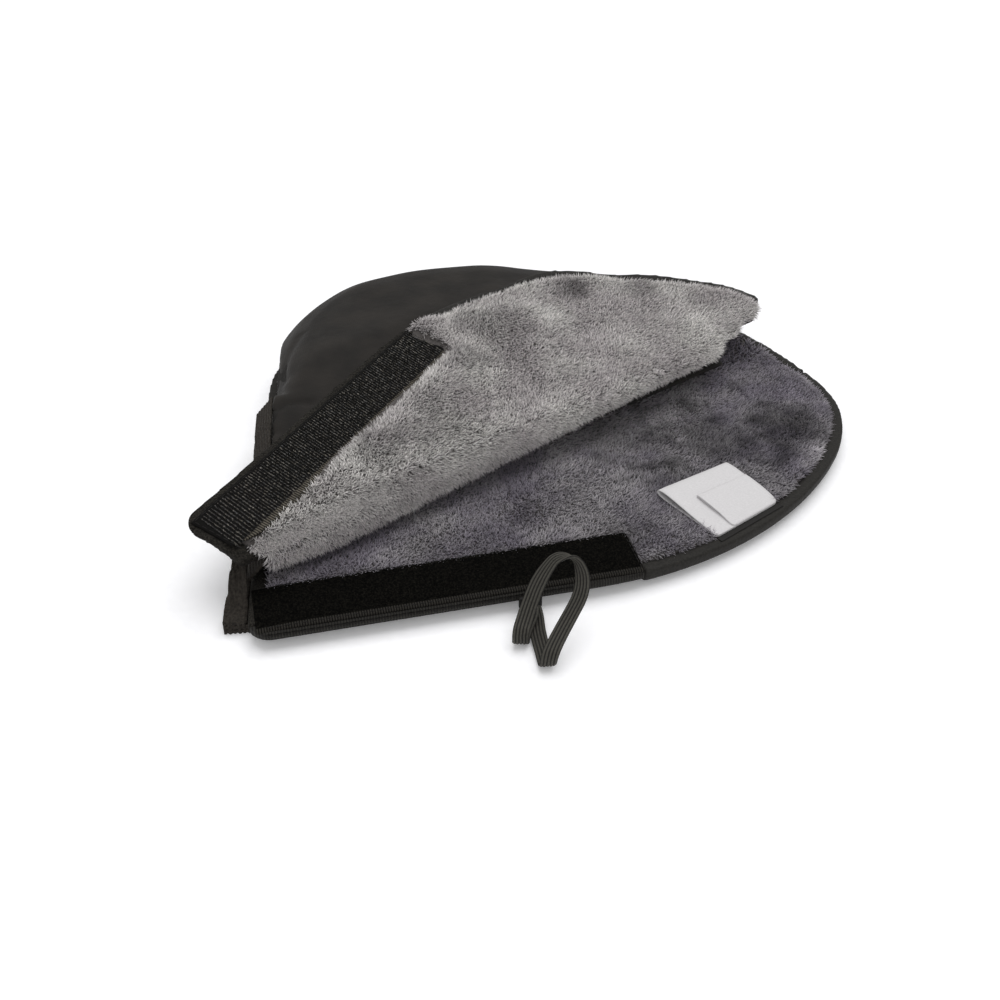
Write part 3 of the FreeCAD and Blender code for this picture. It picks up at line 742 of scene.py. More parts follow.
# %% Plain soft layers and edge bindings
SOFT_LAYERS = [
    # new name, CAD node, body, slot, material, mesh size in mm, smoothing rounds, give
    ("lower_outer_cloth", "lower_shell", "lower_panel", "shell_fabric", shell_cloth, 1.4, 3,
     lambda place: end_give(place) + foot_give(place)),
    ("lower_quilt_wadding", "lower_wadding", "lower_panel", "wadding", quilt_wadding, 1.8, 2,
     end_give),
    ("cuff_edge_binding", "lower_cuff_binding", "lower_panel", "edge_binding", worn_binding,
     1.0, 5, None),
    ("back_seam_turning", "back_seam_allowance", "lower_panel", "edge_binding", binding_tape,
     1.4, 4, end_give),
    ("flap_outer_cloth", "flap_shell", "flap", "shell_fabric", shell_cloth, 1.2, 3, flap_give),
    ("flap_quilt_wadding", "flap_wadding", "flap", "wadding", quilt_wadding, 1.8, 2,
     flap_give),
    ("flap_turned_hem", "flap_closure_hem", "flap", "shell_fabric", worn_binding, 0.9, 7,
     flap_give),
    ("flap_corner_hem", "flap_cuff_hem", "flap", "shell_fabric", worn_binding, 0.9, 7,
     flap_give),
    ("flap_rounded_binding", "flap_end_binding", "flap", "edge_binding", binding_tape, 1.0, 6,
     flap_give),
]


def soft_copy(name, node, voxel, rounds, give=None, turned=None):
    """A rounded copy of a CAD slab that lies as give says."""
    made = copy_of(name, node)
    finish_with(made, "REMESH", mode="VOXEL", voxel_size=voxel * MM)
    if give:
        reshape(made, give, turned)
    finish_with(made, "SMOOTH", factor=0.5, iterations=rounds)
    pick(made)
    bpy.ops.object.shade_smooth()
    return made


for name, node, body, slot, material, voxel, rounds, give in SOFT_LAYERS:
    piece = soft_copy(name, node, voxel, rounds, give, swing_closed if body == "flap" else None)
    dress(piece, body, slot, material, node)

# %% [markdown]
# The front binding is sewn down in two lines, which sink into it as grooves, with a closely
# stitched band between them.  The binding is rounded first and the grooves are pressed in
# afterwards.  The edge is measured round from the closure corner: a straight, then three
# arcs.

# %% Edge bindings with sewn grooves
CLOSURE_STRAIGHT = 133
FRONT_R, END_R, BACK_R = 171, 90, 150
END_STOP = 115
front_centre = Vector((CLOSURE_STRAIGHT, FRONT_R, 0))
front_turn = math.asin((PANEL_LENGTH - CLOSURE_STRAIGHT - END_R) / (FRONT_R - END_R))


def outwards(turn):
    """Direction out of the panel where its edge has this heading, in radians."""
    return Vector((math.sin(turn), -math.cos(turn), 0))


end_centre = front_centre + outwards(front_turn) * (FRONT_R - END_R)
back_centre = end_centre + outwards(math.radians(END_STOP)) * (END_R - BACK_R)
EDGE_ARCS = [(front_centre, FRONT_R, 0.0, front_turn),
             (end_centre, END_R, front_turn, math.radians(END_STOP)),
             (back_centre, BACK_R, math.radians(END_STOP), math.pi)]


def edge_point(distance, inset, level):
    """Point so far along the panel's edge, inset and level in mm, and the edge's heading."""
    if distance <= CLOSURE_STRAIGHT:
        return Vector((distance, inset, level)), 0.0
    distance -= CLOSURE_STRAIGHT
    for centre, radius, start, stop in EDGE_ARCS:
        turn = start + distance / radius
        if turn <= stop:
            break
        distance -= radius * (stop - start)
    return centre + outwards(turn) * (radius - inset) + UP * level, turn


def edge_line(start, stop, inset, level, step=4):
    """Points along the panel's edge, a few millimetres apart."""
    count = int((stop - start) / step)
    return [edge_point(start + (stop - start) * i / count, inset, level)[0]
            for i in range(count + 1)]


front_binding = soft_copy("front_edge_binding", "closure_edge_binding", 0.45, 8, foot_give)
for inset, groove_level in ((0.2, 7.4), (0.6, 5.2)):
    press(front_binding, edge_line(2, 152, inset, groove_level, 30), 1.0, 0.5)
dress(front_binding, "lower_panel", "edge_binding", sewn_binding, "closure_edge_binding")

end_binding = soft_copy("rounded_end_binding", "far_end_binding", 0.9, 9, end_give)
dress(end_binding, "lower_panel", "edge_binding", binding_tape, "far_end_binding")

# %% [markdown]
# A stitch is a short rounded bit of thread.  One is modelled, and each row of sewing is made
# of copies of it laid end to end.

# %% Sewing thread
STITCH_LENGTH = 2.3
STITCH_GAP = 0.8
THREAD = 0.34


def make_stitch():
    """One stitch along X, thick in the middle and dipping into the cloth at its ends."""
    bpy.ops.mesh.primitive_cylinder_add(vertices=6, radius=THREAD / 2 * MM,
                                        depth=STITCH_LENGTH * 0.6 * MM,
                                        rotation=(0, math.pi / 2, 0))
    made = bpy.context.object
    bpy.ops.object.transform_apply(location=True, rotation=True, scale=True)
    for side in (-1, 1):
        bpy.ops.object.mode_set(mode="EDIT")
        bpy.ops.mesh.select_mode(type="FACE")
        bpy.ops.mesh.select_all(action="DESELECT")
        bpy.ops.object.mode_set(mode="OBJECT")
        for face in made.data.polygons:
            face.select = face.normal.x * side > 0.9
        bpy.ops.object.mode_set(mode="EDIT")
        bpy.ops.mesh.extrude_region_move(TRANSFORM_OT_translate={
            "value": (side * STITCH_LENGTH * 0.2 * MM, 0, -0.12 * MM)})
        bpy.ops.transform.resize(value=(1, 0.5, 0.5))
        bpy.ops.object.mode_set(mode="OBJECT")
    return made


def sew(name, stitches, body, *nodes, give=None, swing=None):
    """Lay stitches: each is its middle in mm, the direction it runs and the side it shows."""
    one = make_stitch()
    rows = []
    for middle, along, out in stitches:
        frame_of = Matrix((along, out.cross(along), out)).transposed().to_4x4()
        mesh = one.data.copy()
        mesh.transform(Matrix.Translation(at(*middle)) @ frame_of)
        rows.append(new_piece(name, mesh))
    bpy.data.objects.remove(one)
    bpy.ops.object.select_all(action="DESELECT")
    for row in rows:
        row.select_set(True)
    bpy.context.view_layer.objects.active = rows[0]
    bpy.ops.object.join()
    made = rows[0]
    if give:
        reshape(made, give)
    if swing:
        made.data.transform(swing)
    bpy.ops.object.shade_smooth()
    return dress(made, body, "thread", black_thread, *nodes)


def straight_row(start, stop, out):
    """Stitches from start to stop, both in mm."""
    start, stop = Vector(start), Vector(stop)
    along = (stop - start).normalized()
    count = int((stop - start).length / (STITCH_LENGTH + STITCH_GAP))
    return [(start.lerp(stop, (i + 0.5) / count), along, Vector(out)) for i in range(count)]


def frame_row(low, high, inset, level, out):
    """Stitches round a rectangle, so far inside its edge."""
    x0, y0, x1, y1 = low[0] + inset, low[1] + inset, high[0] - inset, high[1] - inset
    ring = [(x0, y0, level), (x1, y0, level), (x1, y1, level), (x0, y1, level)]
    return [stitch for i in range(4) for stitch in straight_row(ring[i], ring[(i + 1) % 4], out)]


def edge_row(start, stop, inset, level, out=None):
    """Stitches along the panel's edge; out is the side that they show on."""
    pitch = STITCH_LENGTH + STITCH_GAP
    row = []
    for i in range(int((stop - start) / pitch)):
        middle, turn = edge_point(start + (i + 0.5) * pitch, inset, level)
        along = Vector((math.cos(turn), math.sin(turn), 0))
        row.append((middle, along, out or outwards(turn)))
    return row


sew("edge_binding_sewing", edge_row(4, 104, 0.35, 7.2) + edge_row(112, 152, 0.35, 7.2),
    "lower_panel")

# %% [markdown]
# The pile is made of many small tufts, each of three short leaning hairs.  One tuft is
# modelled, and a Geometry Nodes modifier scatters it over the plush side of a panel.  Every
# tuft leans the way the nap is brushed, leans in towards the middle of its own clump, which
# opens fine dark clefts between the clumps, and leans a little at random.

# %% Pile tufts
def make_tuft():
    """Three thin cones that lean apart; attribute tip runs from 0 at the root to 1."""
    points, faces, tips = [], [], []
    for turn, lean, length, radius in ((0.0, 0.4, 3.0, 0.3), (2.2, 0.28, 2.5, 0.27),
                                       (4.1, 0.45, 2.8, 0.3)):
        root = Vector((math.cos(turn), math.sin(turn), 0))
        first = len(points)
        for side in (turn, turn + 2.1, turn + 4.2):
            points.append(root * 0.3 + Vector((math.cos(side), math.sin(side), 0)) * radius)
        points.append(root * (0.3 + lean * length) + UP * length)
        tips += [0.0, 0.0, 0.0, 1.0]
        faces += [(first + i, first + (i + 1) % 3, first + 3) for i in range(3)]
    made = built_piece("pile_tuft", [p * MM for p in points], faces)
    made.data.polygons.foreach_set("use_smooth", [True] * len(faces))
    made.data.attributes.new("tip", "FLOAT", "POINT").data.foreach_set("value", tips)
    return made


tuft = make_tuft()
CLUMP_SIZE = 2.0
CLUMP_DRAWN_OUT = 1.7      # clumps are longer along the nap than across it


def pile_nodes(name, per_mm2, seed, nap, clump, loose, size, calm):
    """Node group that scatters so many tufts per square millimetre over a mesh.

    Hairs lean along nap, towards their clump's middle, and by chance up to loose; size is
    the range of their lengths.  From the first to the second x of calm the clumps weaken.
    """
    group = bpy.data.node_groups.new(name, "GeometryNodeTree")
    for way_round in ("INPUT", "OUTPUT"):
        group.interface.new_socket("Geometry", in_out=way_round,
                                   socket_type="NodeSocketGeometry")

    def step(kind, inputs=None, **settings):
        """Add a node to the group, set its options, and fill or link its inputs."""
        new = group.nodes.new(kind)
        for key, value in settings.items():
            setattr(new, key, value)
        for socket, value in (inputs or {}).items():
            if isinstance(value, bpy.types.NodeSocket):
                group.links.new(value, new.inputs[socket])
            else:
                new.inputs[socket].default_value = value
        return new

    def vector_step(operation, first, second=None):
        """One step of vector arithmetic."""
        inputs = {0: first}
        if second is not None:
            inputs[3 if operation == "SCALE" else 1] = second
        new = step("ShaderNodeVectorMath", inputs, operation=operation)
        return new.outputs["Value" if operation == "DOT_PRODUCT" else "Vector"]

    def brushed_lean(spacing, amount):
        """Lean that changes smoothly from place to place, as hands leave it."""
        here = step("GeometryNodeInputPosition").outputs[0]
        field = step("ShaderNodeTexNoise", {"Vector": here, "Scale": per_mm(spacing),
                                            "Detail": 1.0}).outputs["Color"]
        return vector_step("SCALE", vector_step("SUBTRACT", field, (0.5,) * 3), amount * 4)

    def clump_lean():
        """Lean towards the middle of the clump that a hair stands in."""
        here = step("GeometryNodeInputPosition").outputs[0]
        nap_way = Vector(nap).normalized()
        side_way = Vector((-nap_way.y, nap_way.x, 0))
        level = step("ShaderNodeSeparateXYZ", {0: here}).outputs[2]
        flat = step("ShaderNodeCombineXYZ", {
            0: vector_step("DOT_PRODUCT", here, tuple(side_way)),
            1: vector_step("DOT_PRODUCT", here, tuple(nap_way / CLUMP_DRAWN_OUT)),
            2: level}).outputs[0]
        ragged = vector_step("ADD", flat, vector_step("SCALE", step(
            "ShaderNodeTexNoise", {"Vector": here, "Scale": per_mm(3), "Detail": 2.0})
            .outputs["Color"], 1.6 * MM))
        cell = step("ShaderNodeTexVoronoi", {"Vector": ragged, "Scale": per_mm(CLUMP_SIZE)})
        gap = step("ShaderNodeSeparateXYZ", {
            0: vector_step("SUBTRACT", cell.outputs["Position"], ragged)})
        across = vector_step("SCALE", tuple(side_way), gap.outputs[0])
        back_and_forth = vector_step("SCALE", tuple(nap_way * CLUMP_DRAWN_OUT), gap.outputs[1])
        strength = clump / MM
        if calm:
            start_x, stop_x = calm
            x = step("ShaderNodeSeparateXYZ", {0: here}).outputs[0]
            strength = step("ShaderNodeMapRange", {0: x, 1: start_x, 2: stop_x, 3: clump / MM,
                                                   4: 0.35 * clump / MM}).outputs[0]
        return vector_step("SCALE", vector_step("ADD", across, back_and_forth), strength)

    def chance(low, high, offset, kind="FLOAT"):
        """Random value between low and high for each hair; offset keeps the draws apart."""
        if kind == "FLOAT":
            return step("FunctionNodeRandomValue", {2: low, 3: high, "Seed": seed + offset},
                        data_type=kind).outputs[1]
        return step("FunctionNodeRandomValue", {0: (low,) * 3, 1: (high,) * 3,
                                                "Seed": seed + offset},
                    data_type=kind).outputs[0]

    start = step("NodeGroupInput")
    spread = step("GeometryNodeDistributePointsOnFaces",
                  {"Mesh": start.outputs[0], "Density": per_mm2 / MM ** 2, "Seed": seed})
    way = spread.outputs["Normal"]
    for push in (brushed_lean(32, 0.5), clump_lean(),
                 chance(-loose, loose, 1, "FLOAT_VECTOR"), tuple(nap)):
        way = vector_step("ADD", way, push)
    aimed = step("FunctionNodeAlignRotationToVector", {"Vector": way}, axis="Z")
    spin = step("ShaderNodeCombineXYZ", {2: chance(0.0, 2 * math.pi, 2)})
    turned = step("FunctionNodeRotateRotation", {0: aimed.outputs[0], 1: spin.outputs[0]},
                  rotation_space="LOCAL")
    hair = step("GeometryNodeObjectInfo", {"Object": tuft})
    made = step("GeometryNodeInstanceOnPoints",
                {"Points": spread.outputs[0], "Instance": hair.outputs["Geometry"],
                 "Rotation": turned.outputs[0], "Scale": chance(*size, 3)}).outputs[0]
    marked = step("GeometryNodeStoreNamedAttribute",
                  {"Geometry": made, "Name": "shade", "Value": chance(0.0, 1.0, 4)},
                  data_type="FLOAT", domain="INSTANCE").outputs[0]
    real = step("GeometryNodeRealizeInstances", {0: marked})
    step("NodeGroupOutput", {0: real.outputs[0]})
    return group


def grow_pile(base, name, bare, per_mm2, seed, nap=(0.25, -0.8, 0.0), clump=0.3, loose=0.3,
              size=(0.8, 1.15), calm=None):
    """Pile in a mesh of its own on base, except where bare(face) is true."""
    made = new_piece(name, base.data.copy())
    drop_faces(made, bare)
    added = made.modifiers.new("pile", "NODES")
    added.node_group = pile_nodes("grow_" + name, per_mm2, seed, nap, clump, loose, size, calm)
    bpy.ops.object.modifier_apply(modifier=added.name)
    print(name, len(made.data.polygons), "hair faces")
    return made


# %% [markdown]
# Nothing grows under the tapes and the label, and inside the pocket the pile is left thin,
# because nothing shows there.  Each of these is a simple question about a face: where is its
# middle, and which way does it look?

# %% Lower plush
LABEL_TURN = math.radians(26)
LABEL_WIDTH = 38
LABEL_REACH = 33
label_along = Vector((math.cos(LABEL_TURN), math.sin(LABEL_TURN), 0))
label_in = Vector((-label_along.y, label_along.x, 0))
BINDING_WIDTH = 6
label_start = (front_centre + outwards(LABEL_TURN) * (FRONT_R - BINDING_WIDTH)
               - label_along * LABEL_WIDTH / 2)
loop_low, loop_high = [from_corner(p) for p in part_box("loop_tape")]
print("loop tape", loop_low, loop_high, "hook tape", hook_low, hook_high)


def inside(point, low, high, margin):
    """True where a point in mm lies over the rectangle, widened by margin."""
    return (low.x - margin < point.x < high.x + margin
            and low.y - margin < point.y < high.y + margin)


def under_label(place):
    """True where a place in mm lies under the large label, whose edge still shows pile."""
    across = (place - label_start).dot(label_along)
    return (1.5 < across < LABEL_WIDTH - 1.5
            and -2 < (place - label_start).dot(label_in) < LABEL_REACH - 2)


def lower_bare(face):
    """True on the sides, under the loop tape and the label, and inside the pocket."""
    place = from_corner(face.center)
    return (face.normal.z < 0.45 or inside(place, loop_low, loop_high, 0.2)
            or under_label(place) or behind_fold(place) > 10)


def pocket_bare(face):
    """True everywhere but on top of the plush inside the pocket."""
    return face.normal.z < 0.5 or behind_fold(from_corner(face.center)) < 10


def lower_give(place):
    """The pile is pressed down where the turned-back half weighs on it."""
    return end_give(place) - UP * (1.2 * eased(1 - abs(behind_fold(place)) / 12))


lower_plush = soft_copy("lower_plush_backing", "lower_lining", 2.2, 3, lower_give)
ripple(lower_plush, 24, 1.6)
dress(lower_plush, "lower_panel", "plush", plush_back, "lower_lining")
lower_pile = grow_pile(lower_plush, "lower_plush_pile", lower_bare, 1.3, 11,
                       nap=(0.1, -0.8, 0.0))
dress(lower_pile, "lower_panel", "plush", shaded_lower_fibre)
pocket_pile = grow_pile(lower_plush, "pocket_plush_pile", pocket_bare, 0.3, 17,
                        nap=(0.1, -0.8, 0.0), size=(1.2, 1.7))
dress(pocket_pile, "lower_panel", "plush", shaded_lower_fibre)

# %% [markdown]
# The flap's plush side looks up where the flap is turned back.  Beside the hook tape the
# plush swells up, and past the tape's far end it bulges out over the hem.  A few longer tufts
# lean over the fold, so that no line shows where the roll starts.

# %% Flap plush
def flap_bare(face):
    """True on the flap's cloth side and under the hook tape."""
    place = from_corner(swing_closed @ face.center) + Vector((0, FLAP_EDGE_OUT, 0))
    before_strip = place.x < hook_high.x + 0.3 and place.y < hook_high.y - TAPE_OUT + 0.2
    return face.normal.dot(flap_up) < -0.1 or before_strip


def swell(place):
    """How far the plush swells beside the hook tape, in mm."""
    beside = math.exp(-((place.y - hook_high.y - 4) / 8) ** 2)
    length = eased((place.x - 20) / 50) * (1 - eased((place.x - 145) / 25))
    past_end = hump(place, (160, 12), 16)
    return 1.5 * beside * (1 - length) * (place.x < 150) + 5 * beside * length + 3 * past_end


def plush_give(place):
    """The plush gives as the flap does, and only its outer side swells."""
    plush_side = 1 - (place.z - flap_plush_level) / 5
    outer = flap_give(place) - UP * (swell(place) * max(0.0, min(1.0, plush_side)))
    return outer + Vector((0, -3, 0)) * hump(place, (160, 8), 14)


flap_plush = soft_copy("flap_plush_backing", "flap_lining", 2.0, 3, plush_give, swing_closed)
ripple(flap_plush, 26, 1.8)
dress(flap_plush, "flap", "plush", plush_back, "flap_lining")
flap_pile = grow_pile(flap_plush, "flap_plush_pile", flap_bare, 1.55, 23,
                      calm=(at(130, 0).x, at(215, 0).x))
dress(flap_pile, "flap", "plush", flap_fibre)


def away_from_fold(face):
    """True more than 4 mm or so from the fold, and on the cloth side."""
    near = -4 < behind_fold(from_corner(face.center)) < 4.5
    return not near or face.normal.dot(flap_up) < -0.1


hairs_over_fold = grow_pile(flap_plush, "plush_over_fold", away_from_fold, 1.8, 29,
                            nap=(0.2, -1.0, -0.1), size=(0.9, 1.25))
dress(hairs_over_fold, "flap", "plush", flap_fibre)

# %% [markdown]
# Along the slanting fold the plush rolls round from the underside of the rear panel on to the
# flap.  It stays where it lies with the flap turned back.

# %% Plush roll at the fold
ROLL_LOW, ROLL_HIGH, ROLL_TOP = 13.8, 26.0, 30.0
ROLL_BULGE_KEPT = 0.12
ROLL_LEAN = 6.0
roll_front = -fold_back


def roll_give(place):
    """The roll is flatter than its slab, leans into the flap and rises towards the tip."""
    front = max(0.0, -behind_fold(place))
    low = between(FOLD_UNDERSIDE, along_fold(place))
    share = (place.z - ROLL_LOW) / (ROLL_HIGH - ROLL_LOW)
    lean = ROLL_LEAN * max(0.0, share - 0.4)
    return (fold_back * (front * (1 - ROLL_BULGE_KEPT) + lean)
            + UP * (low + share * (ROLL_TOP - low) - place.z))


def roll_bare(face):
    """True at the back of the roll, where it is sewn to the flap."""
    return face.normal.dot(roll_front) < -0.2


plush_roll = soft_copy("fold_plush_backing", "fold_plush_roll", 1.4, 4, roll_give)
roll_pile = grow_pile(plush_roll, "fold_plush_pile", roll_bare, 1.55, 37,
                      nap=(0.2, -0.4, -0.35), clump=0.4, size=(0.85, 1.2))
for piece, material in ((plush_roll, plush_back), (roll_pile, flap_fibre)):
    piece.data.materials.clear()
    piece.data.materials.append(material)
    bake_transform(piece)
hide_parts("fold_plush_roll")
bpy.data.objects.remove(tuft)

# %% [markdown]
# The rear panel is puffed by the hand pocket inside it.  Its outer skin is taken from the
# CAD cloth: faces that look out and meet nothing on the way.  A skirt down to a flat bottom
# closes the skin, so it can be turned into an even mesh; the skirt is then cut off again.
# Last come the creases that real cloth has: a pucker where the wrist elastic pulls, and slack
# folds down the cuff side.

# %% Rear panel skin
SKIRT = 50
rear_cloth = copy_of("rear_outer_cloth", "rear_shell")
rear_solid = skin_of(rear_cloth)


def looks_inside(face):
    """True where a face looks down, or sees only cloth ahead, above and between the two."""
    start = face.center + face.normal * (0.05 * MM)
    ways = (face.normal, UP, (face.normal + UP).normalized())
    return face.normal.z < -0.3 or all(rear_solid.ray_cast(start, way, 0.4)[0] for way in ways)


drop_faces(rear_cloth, looks_inside)
rear_skin = skin_of(rear_cloth)
pick(rear_cloth)
bpy.ops.object.mode_set(mode="EDIT")
bpy.ops.mesh.select_mode(type="EDGE")
bpy.ops.mesh.select_all(action="DESELECT")
bpy.ops.mesh.select_non_manifold(extend=False, use_wire=False, use_multi_face=False,
                                 use_non_contiguous=False, use_verts=False)
bpy.ops.mesh.extrude_region_move(TRANSFORM_OT_translate={"value": (0, 0, -SKIRT * MM)})
bpy.ops.transform.resize(value=(1, 1, 0))
bpy.ops.mesh.fill()
bpy.ops.object.mode_set(mode="OBJECT")
face_outwards(rear_cloth)
finish_with(rear_cloth, "REMESH", mode="VOXEL", voxel_size=1.5 * MM)


def off_the_skin(face):
    """True for the inner side of the remeshed shell, which lies below the old skin."""
    return rear_skin.find_nearest(face.center)[3] > 0.9 * MM


drop_faces(rear_cloth, off_the_skin)
reshape(rear_cloth, pocket_sag)
finish_with(rear_cloth, "SMOOTH", factor=0.5, iterations=10)
ripple(rear_cloth, 45, 1.5)
REAR_CREASES = [
    # points in mm from the closure corner, depth, width
    ([(22, 108, 33), (24, 112, 34), (30, 117, 34.5), (40, 116, 34)], 1.3, 2.2),
    ([(21, 100, 32), (27, 98, 33), (36, 97, 33)], 0.9, 2.0),
    ([(31, 139, 33), (31, 149, 31.5), (37, 165, 33), (42, 176, 35.8)], 0.8, 3.0),
    ([(27, 130, 30), (33, 160, 27), (45, 190, 27)], 0.7, 4.0),
]
for line, depth, width in REAR_CREASES:
    press(rear_cloth, line, depth, width)
finish_with(rear_cloth, "SOLIDIFY", thickness=1.1 * MM, offset=-1)
pick(rear_cloth)
bpy.ops.object.shade_smooth()
dress(rear_cloth, "upper_panel", "shell_fabric", shell_cloth, "rear_shell")

# %% [markdown]
# Under the cloth lie the wadding and the plush of the hand pocket.

# %% Rear panel's inner layers
rear_fill = soft_copy("rear_quilt_wadding", "rear_wadding", 1.1, 8, pocket_sag)
dress(rear_fill, "upper_panel", "wadding", quilt_wadding, "rear_wadding")
rear_plush = soft_copy("rear_plush_backing", "rear_lining", 1.2, 8, pocket_sag)
dress(rear_plush, "upper_panel", "plush", plush_back, "rear_lining")

# %% [markdown]
# From under the rear panel's front edge the shell cloth runs on over the fold and under the
# flap's cloth.  It is hidden while the flap is turned back.

# %% Shell cloth over the fold
FOLD_CLOTH_END = 254
FOLD_CLOTH_THICK = 0.4
rear_top = skin_of(rear_cloth)
points, faces = [], []
for along in range(1, FOLD_CLOTH_END, 4):
    on_fold = fold_point + fold_along * (along * MM)
    behind = 4 + towards_tip(along, REAR_DRAWN_BACK) + 8 * eased((along - 215) / 40)
    hit = rear_top.ray_cast(on_fold + fold_back * (behind * MM) + UP * 0.1, -UP)[0]
    if hit is None:
        continue
    under_flap = on_fold - fold_back * ((4 + towards_tip(along, 4)) * MM)
    under_flap.z = at(0, 0, flap_cloth_level - 1.2).z
    edge = Vector((on_fold.x, on_fold.y, min(hit.z - 1.5 * MM, fold_point.z - 0.9 * MM)))
    points += [hit - UP * (3.5 * MM), edge + fold_back * (2 * MM),
               on_fold + fold_back * (0.3 * MM) + UP * (1.0 * MM), swing_back @ under_flap]
for row in range(0, len(points) - 4, 4):
    faces += [(row + i, row + i + 1, row + i + 5, row + i + 4) for i in range(3)]
fold_cloth = built_piece("fold_outer_cloth", points, faces)
finish_with(fold_cloth, "SUBSURF", levels=1)
finish_with(fold_cloth, "SOLIDIFY", thickness=FOLD_CLOTH_THICK * MM, offset=0)
pick(fold_cloth)
bpy.ops.object.shade_smooth()
fold_cloth.data.materials.append(shell_cloth)
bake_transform(fold_cloth)
print("rows of shell cloth over the fold:", len(points) // 4)

# %% [markdown]
# The hook tape is a woven ground with rows of small stiff hooks.  One hook is a bent strip;
# two Array modifiers set it out across and along the tape, and each point is then nudged a
# little, because real hooks never stand quite alike.  The tape is modelled lying flat and
# face up, then turned over into its place under the closed flap and swung back with it.  A
# bare ribbed strip is left along the edge next to the plush.

# %% Hook tape
PITCH_ACROSS, PITCH_ALONG = 0.85, 1.35
FRONT_SELVEDGE = 1.3
TAPE_FACE = 0.7
hook_size = hook_high - hook_low


def make_hook():
    """One hook: a strip that rises, bends over and points down again."""
    bpy.ops.mesh.primitive_plane_add(size=1)
    made = bpy.context.object
    made.scale = (0.32 * MM, 0.6 * MM, 1)
    bpy.ops.object.transform_apply(location=True, rotation=True, scale=True)
    bpy.ops.object.mode_set(mode="EDIT")
    bpy.ops.mesh.select_mode(type="FACE")
    bpy.ops.mesh.select_all(action="SELECT")
    for rise, ahead, narrow in ((0.5, 0.0, 0.8), (0.35, 0.25, 0.8), (0.0, 0.3, 0.8)):
        bpy.ops.mesh.extrude_region_move(TRANSFORM_OT_translate={
            "value": (0, ahead * MM, rise * MM)})
        bpy.ops.transform.resize(value=(narrow, narrow, 1))
    bpy.ops.object.mode_set(mode="OBJECT")
    return made


turn_over = (Matrix.Translation(at(hook_low.x, hook_high.y, hook_high.z))
             @ Matrix.Rotation(math.pi, 4, "X"))


def hook_tape_give(place):
    """The tape runs close along the flap's edge, and on to its cuff end."""
    near_cuff = 1 - eased((place.x - hook_low.x) / 20)
    return tape_give(place) - Vector((3 * near_cuff, TAPE_OUT, 0))


hooks = make_hook()
hooks.name = "hook_tape_hooks"
across = int((hook_size.y - FRONT_SELVEDGE - INNER_SELVEDGE) / PITCH_ACROSS)
along = int((hook_size.x - 2 * FRONT_SELVEDGE) / PITCH_ALONG)
finish_with(hooks, "ARRAY", count=across, use_relative_offset=False, use_constant_offset=True,
            constant_offset_displace=(0.1 * MM, PITCH_ACROSS * MM, 0))
finish_with(hooks, "ARRAY", count=along, use_relative_offset=False, use_constant_offset=True,
            constant_offset_displace=(PITCH_ALONG * MM, 0, 0))
pick(hooks)
bpy.ops.object.mode_set(mode="EDIT")
bpy.ops.mesh.select_all(action="SELECT")
bpy.ops.transform.vertex_random(offset=0.35 * MM, seed=5)
bpy.ops.object.mode_set(mode="OBJECT")
face_outwards(hooks)
hooks.data.transform(Matrix.Translation(Vector((FRONT_SELVEDGE, INNER_SELVEDGE, TAPE_FACE)) * MM))
hooks.data.transform(turn_over)
reshape(hooks, hook_tape_give)
hooks.data.transform(swing_back)
dress(hooks, "flap", "hook_tape", hook_nylon)

# %% [markdown]
# The loop tape is softer: the same ground with a mat of fine loops.  The wrist elastic is
# knitted with lengthwise ribs, so its surface is raised and lowered across its width.

# %% Tapes and wrist elastic
cuff_along = Vector((math.cos(math.radians(82)), math.sin(math.radians(82)), 0))
cuff_out = Vector((-cuff_along.y, cuff_along.x, 0))
ELASTIC_RIB = 1.8


def loop_tape_give(place):
    """The tape's cuff end was cut long: it runs on to the corner and bends down there."""
    near = 1 - eased((place.x - loop_low.x) / 14)
    return Vector((-2.6, 0, -0.8)) * near


def lower_elastic_give(place):
    """The lower band is pulled in under the rear panel towards the back."""
    return Vector((5 * eased((place.y - 90) / 45), 0, 0))


def side_elastic_give(place):
    """The free edge of the side band is drawn up towards its end."""
    return Vector((2.5, 0, 5)) * eased((place.y - 18) / 14) * eased((2 - place.x) / 8)


THIN_PIECES = [
    # new name, CAD node, body, slot, material, mesh size, rounds, give, way across its ribs
    ("soft_loop_tape", "loop_tape", "lower_panel", "loop_tape", loop_velvet, 0.5, 2,
     loop_tape_give, None),
    ("stiff_hook_tape", "hook_tape", "flap", "hook_tape", tape_ground, 0.5, 2, hook_tape_give,
     None),
    ("wrist_elastic_under", "wrist_elastic_lower", "lower_panel", "wrist_elastic", rib_elastic,
     0.5, 3, lower_elastic_give, cuff_out),
    ("wrist_elastic_turning", "wrist_elastic_hem", "lower_panel", "wrist_elastic", rib_elastic,
     0.5, 3, None, cuff_out),
    ("wrist_elastic_side", "wrist_elastic_front", "lower_panel", "wrist_elastic", rib_elastic,
     0.5, 3, side_elastic_give, cuff_out),
    ("wrist_elastic_over", "wrist_elastic_upper", "upper_panel", "wrist_elastic", rib_elastic,
     0.5, 5, None, cuff_out * 0.66 - UP * 0.75),
    ("loop_bar_tack_thread", "loop_bar_tack", "lower_panel", "thread", black_thread, 0.35, 2,
     None, None),
    ("care_label_stitches", "care_label_tack", "lower_panel", "thread", black_thread, 0.3, 1,
     None, None),
]


def rib(piece, way, spacing, depth):
    """Raise and lower the surface in ribs this far apart, counted along way."""
    for vertex in piece.data.vertices:
        turn = 2 * math.pi * from_corner(vertex.co).dot(way) / spacing
        vertex.co += vertex.normal * (depth * MM * (abs(math.cos(turn / 2)) - 0.6))
    piece.data.update()


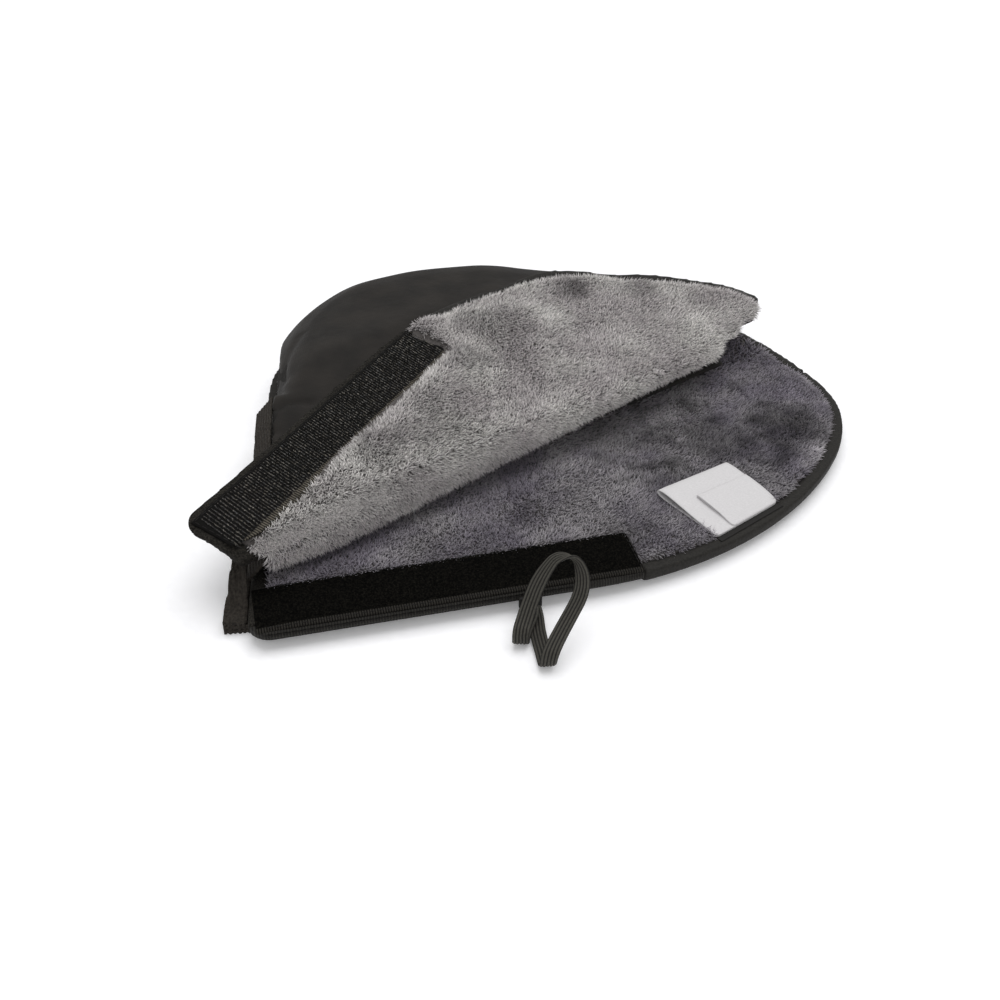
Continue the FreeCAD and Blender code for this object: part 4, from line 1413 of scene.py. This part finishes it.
for name, node, body, slot, material, voxel, rounds, give, rib_way in THIN_PIECES:
    piece = soft_copy(name, node, voxel, rounds, give, swing_closed if body == "flap" else None)
    if rib_way:
        rib(piece, rib_way, ELASTIC_RIB, 0.4 if name == "wrist_elastic_over" else 0.6)
    dress(piece, body, slot, material, node)

sew("loop_tape_sewing", frame_row(loop_low, loop_high, 1.0, loop_high.z + 0.1, (0, 0, 1))[:-7],
    "lower_panel", "loop_tape_stitching")
sew("hook_tape_sewing", frame_row(hook_low, hook_high, 1.0, hook_low.z - 0.1, (0, 0, -1)),
    "flap", "hook_tape_stitching", give=hook_tape_give, swing=swing_back)

# %% [markdown]
# The care label is one strip of satin folded in half, with both ends caught in the binding.
# Its fold stands open, so a roll shows at its far side.  A second, smaller folded label lies
# on it.  Each is drawn as its side view, in mm from the binding and above the plush, and
# that line is drawn out along the binding.

# %% Care labels
LABEL_SIDE = [(0, -0.4), (4, 0.5), (9, 1.0), (16, 1.3), (24, 1.6), (30, 1.7), (33, 2.4),
              (34, 3.6), (33, 4.7), (30, 5.0), (24, 4.3), (16, 3.0), (9, 2.0), (4, 1.2),
              (0, 0.2)]
SMALL_LABEL_SIDE = [(0, 0.3), (4, 1.4), (9, 2.3), (14, 2.9), (19, 3.5), (21, 4.0), (20.4, 4.5),
                    (18.5, 4.4), (14, 3.9), (9, 3.1), (4, 1.9), (0, 0.6)]
SATIN_THICK = 0.16
label_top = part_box("care_label")[0].z / MM


def folded_label(name, side, first, last, skew, lift):
    """Folded strip between two places along the binding; skew shortens its last edge."""
    columns = 9
    points, faces = [], []
    for i in range(columns):
        share = i / (columns - 1)
        across = first + (last - first) * share
        for reach, height in side:
            curl = lift * (1 - share) ** 2 * (reach / side[len(side) // 2][0]) ** 2
            place = (label_start + label_along * across
                     + label_in * (reach * (1 - skew * share))
                     + UP * (label_top + height + curl))
            points.append(at(*place))
    n = len(side)
    for i in range(columns - 1):
        for j in range(n - 1):
            faces.append((i * n + j, i * n + j + 1, (i + 1) * n + j + 1, (i + 1) * n + j))
    made = built_piece(name, points, faces)
    finish_with(made, "SUBSURF", levels=2, render_levels=2)
    ripple(made, 12, 0.5)
    finish_with(made, "SOLIDIFY", thickness=SATIN_THICK * MM, offset=0)
    face_outwards(made)
    bpy.ops.object.shade_smooth()
    return made


large_label = folded_label("large_care_label", LABEL_SIDE, 0, LABEL_WIDTH, 0.1, 0.8)
dress(large_label, "lower_panel", "label_satin", label_satin, "care_label")
small_label = folded_label("small_care_label", SMALL_LABEL_SIDE, LABEL_WIDTH - 28,
                           LABEL_WIDTH - 0.4, 0.1, 0.6)
dress(small_label, "lower_panel", "label_satin", label_satin, "small_label")
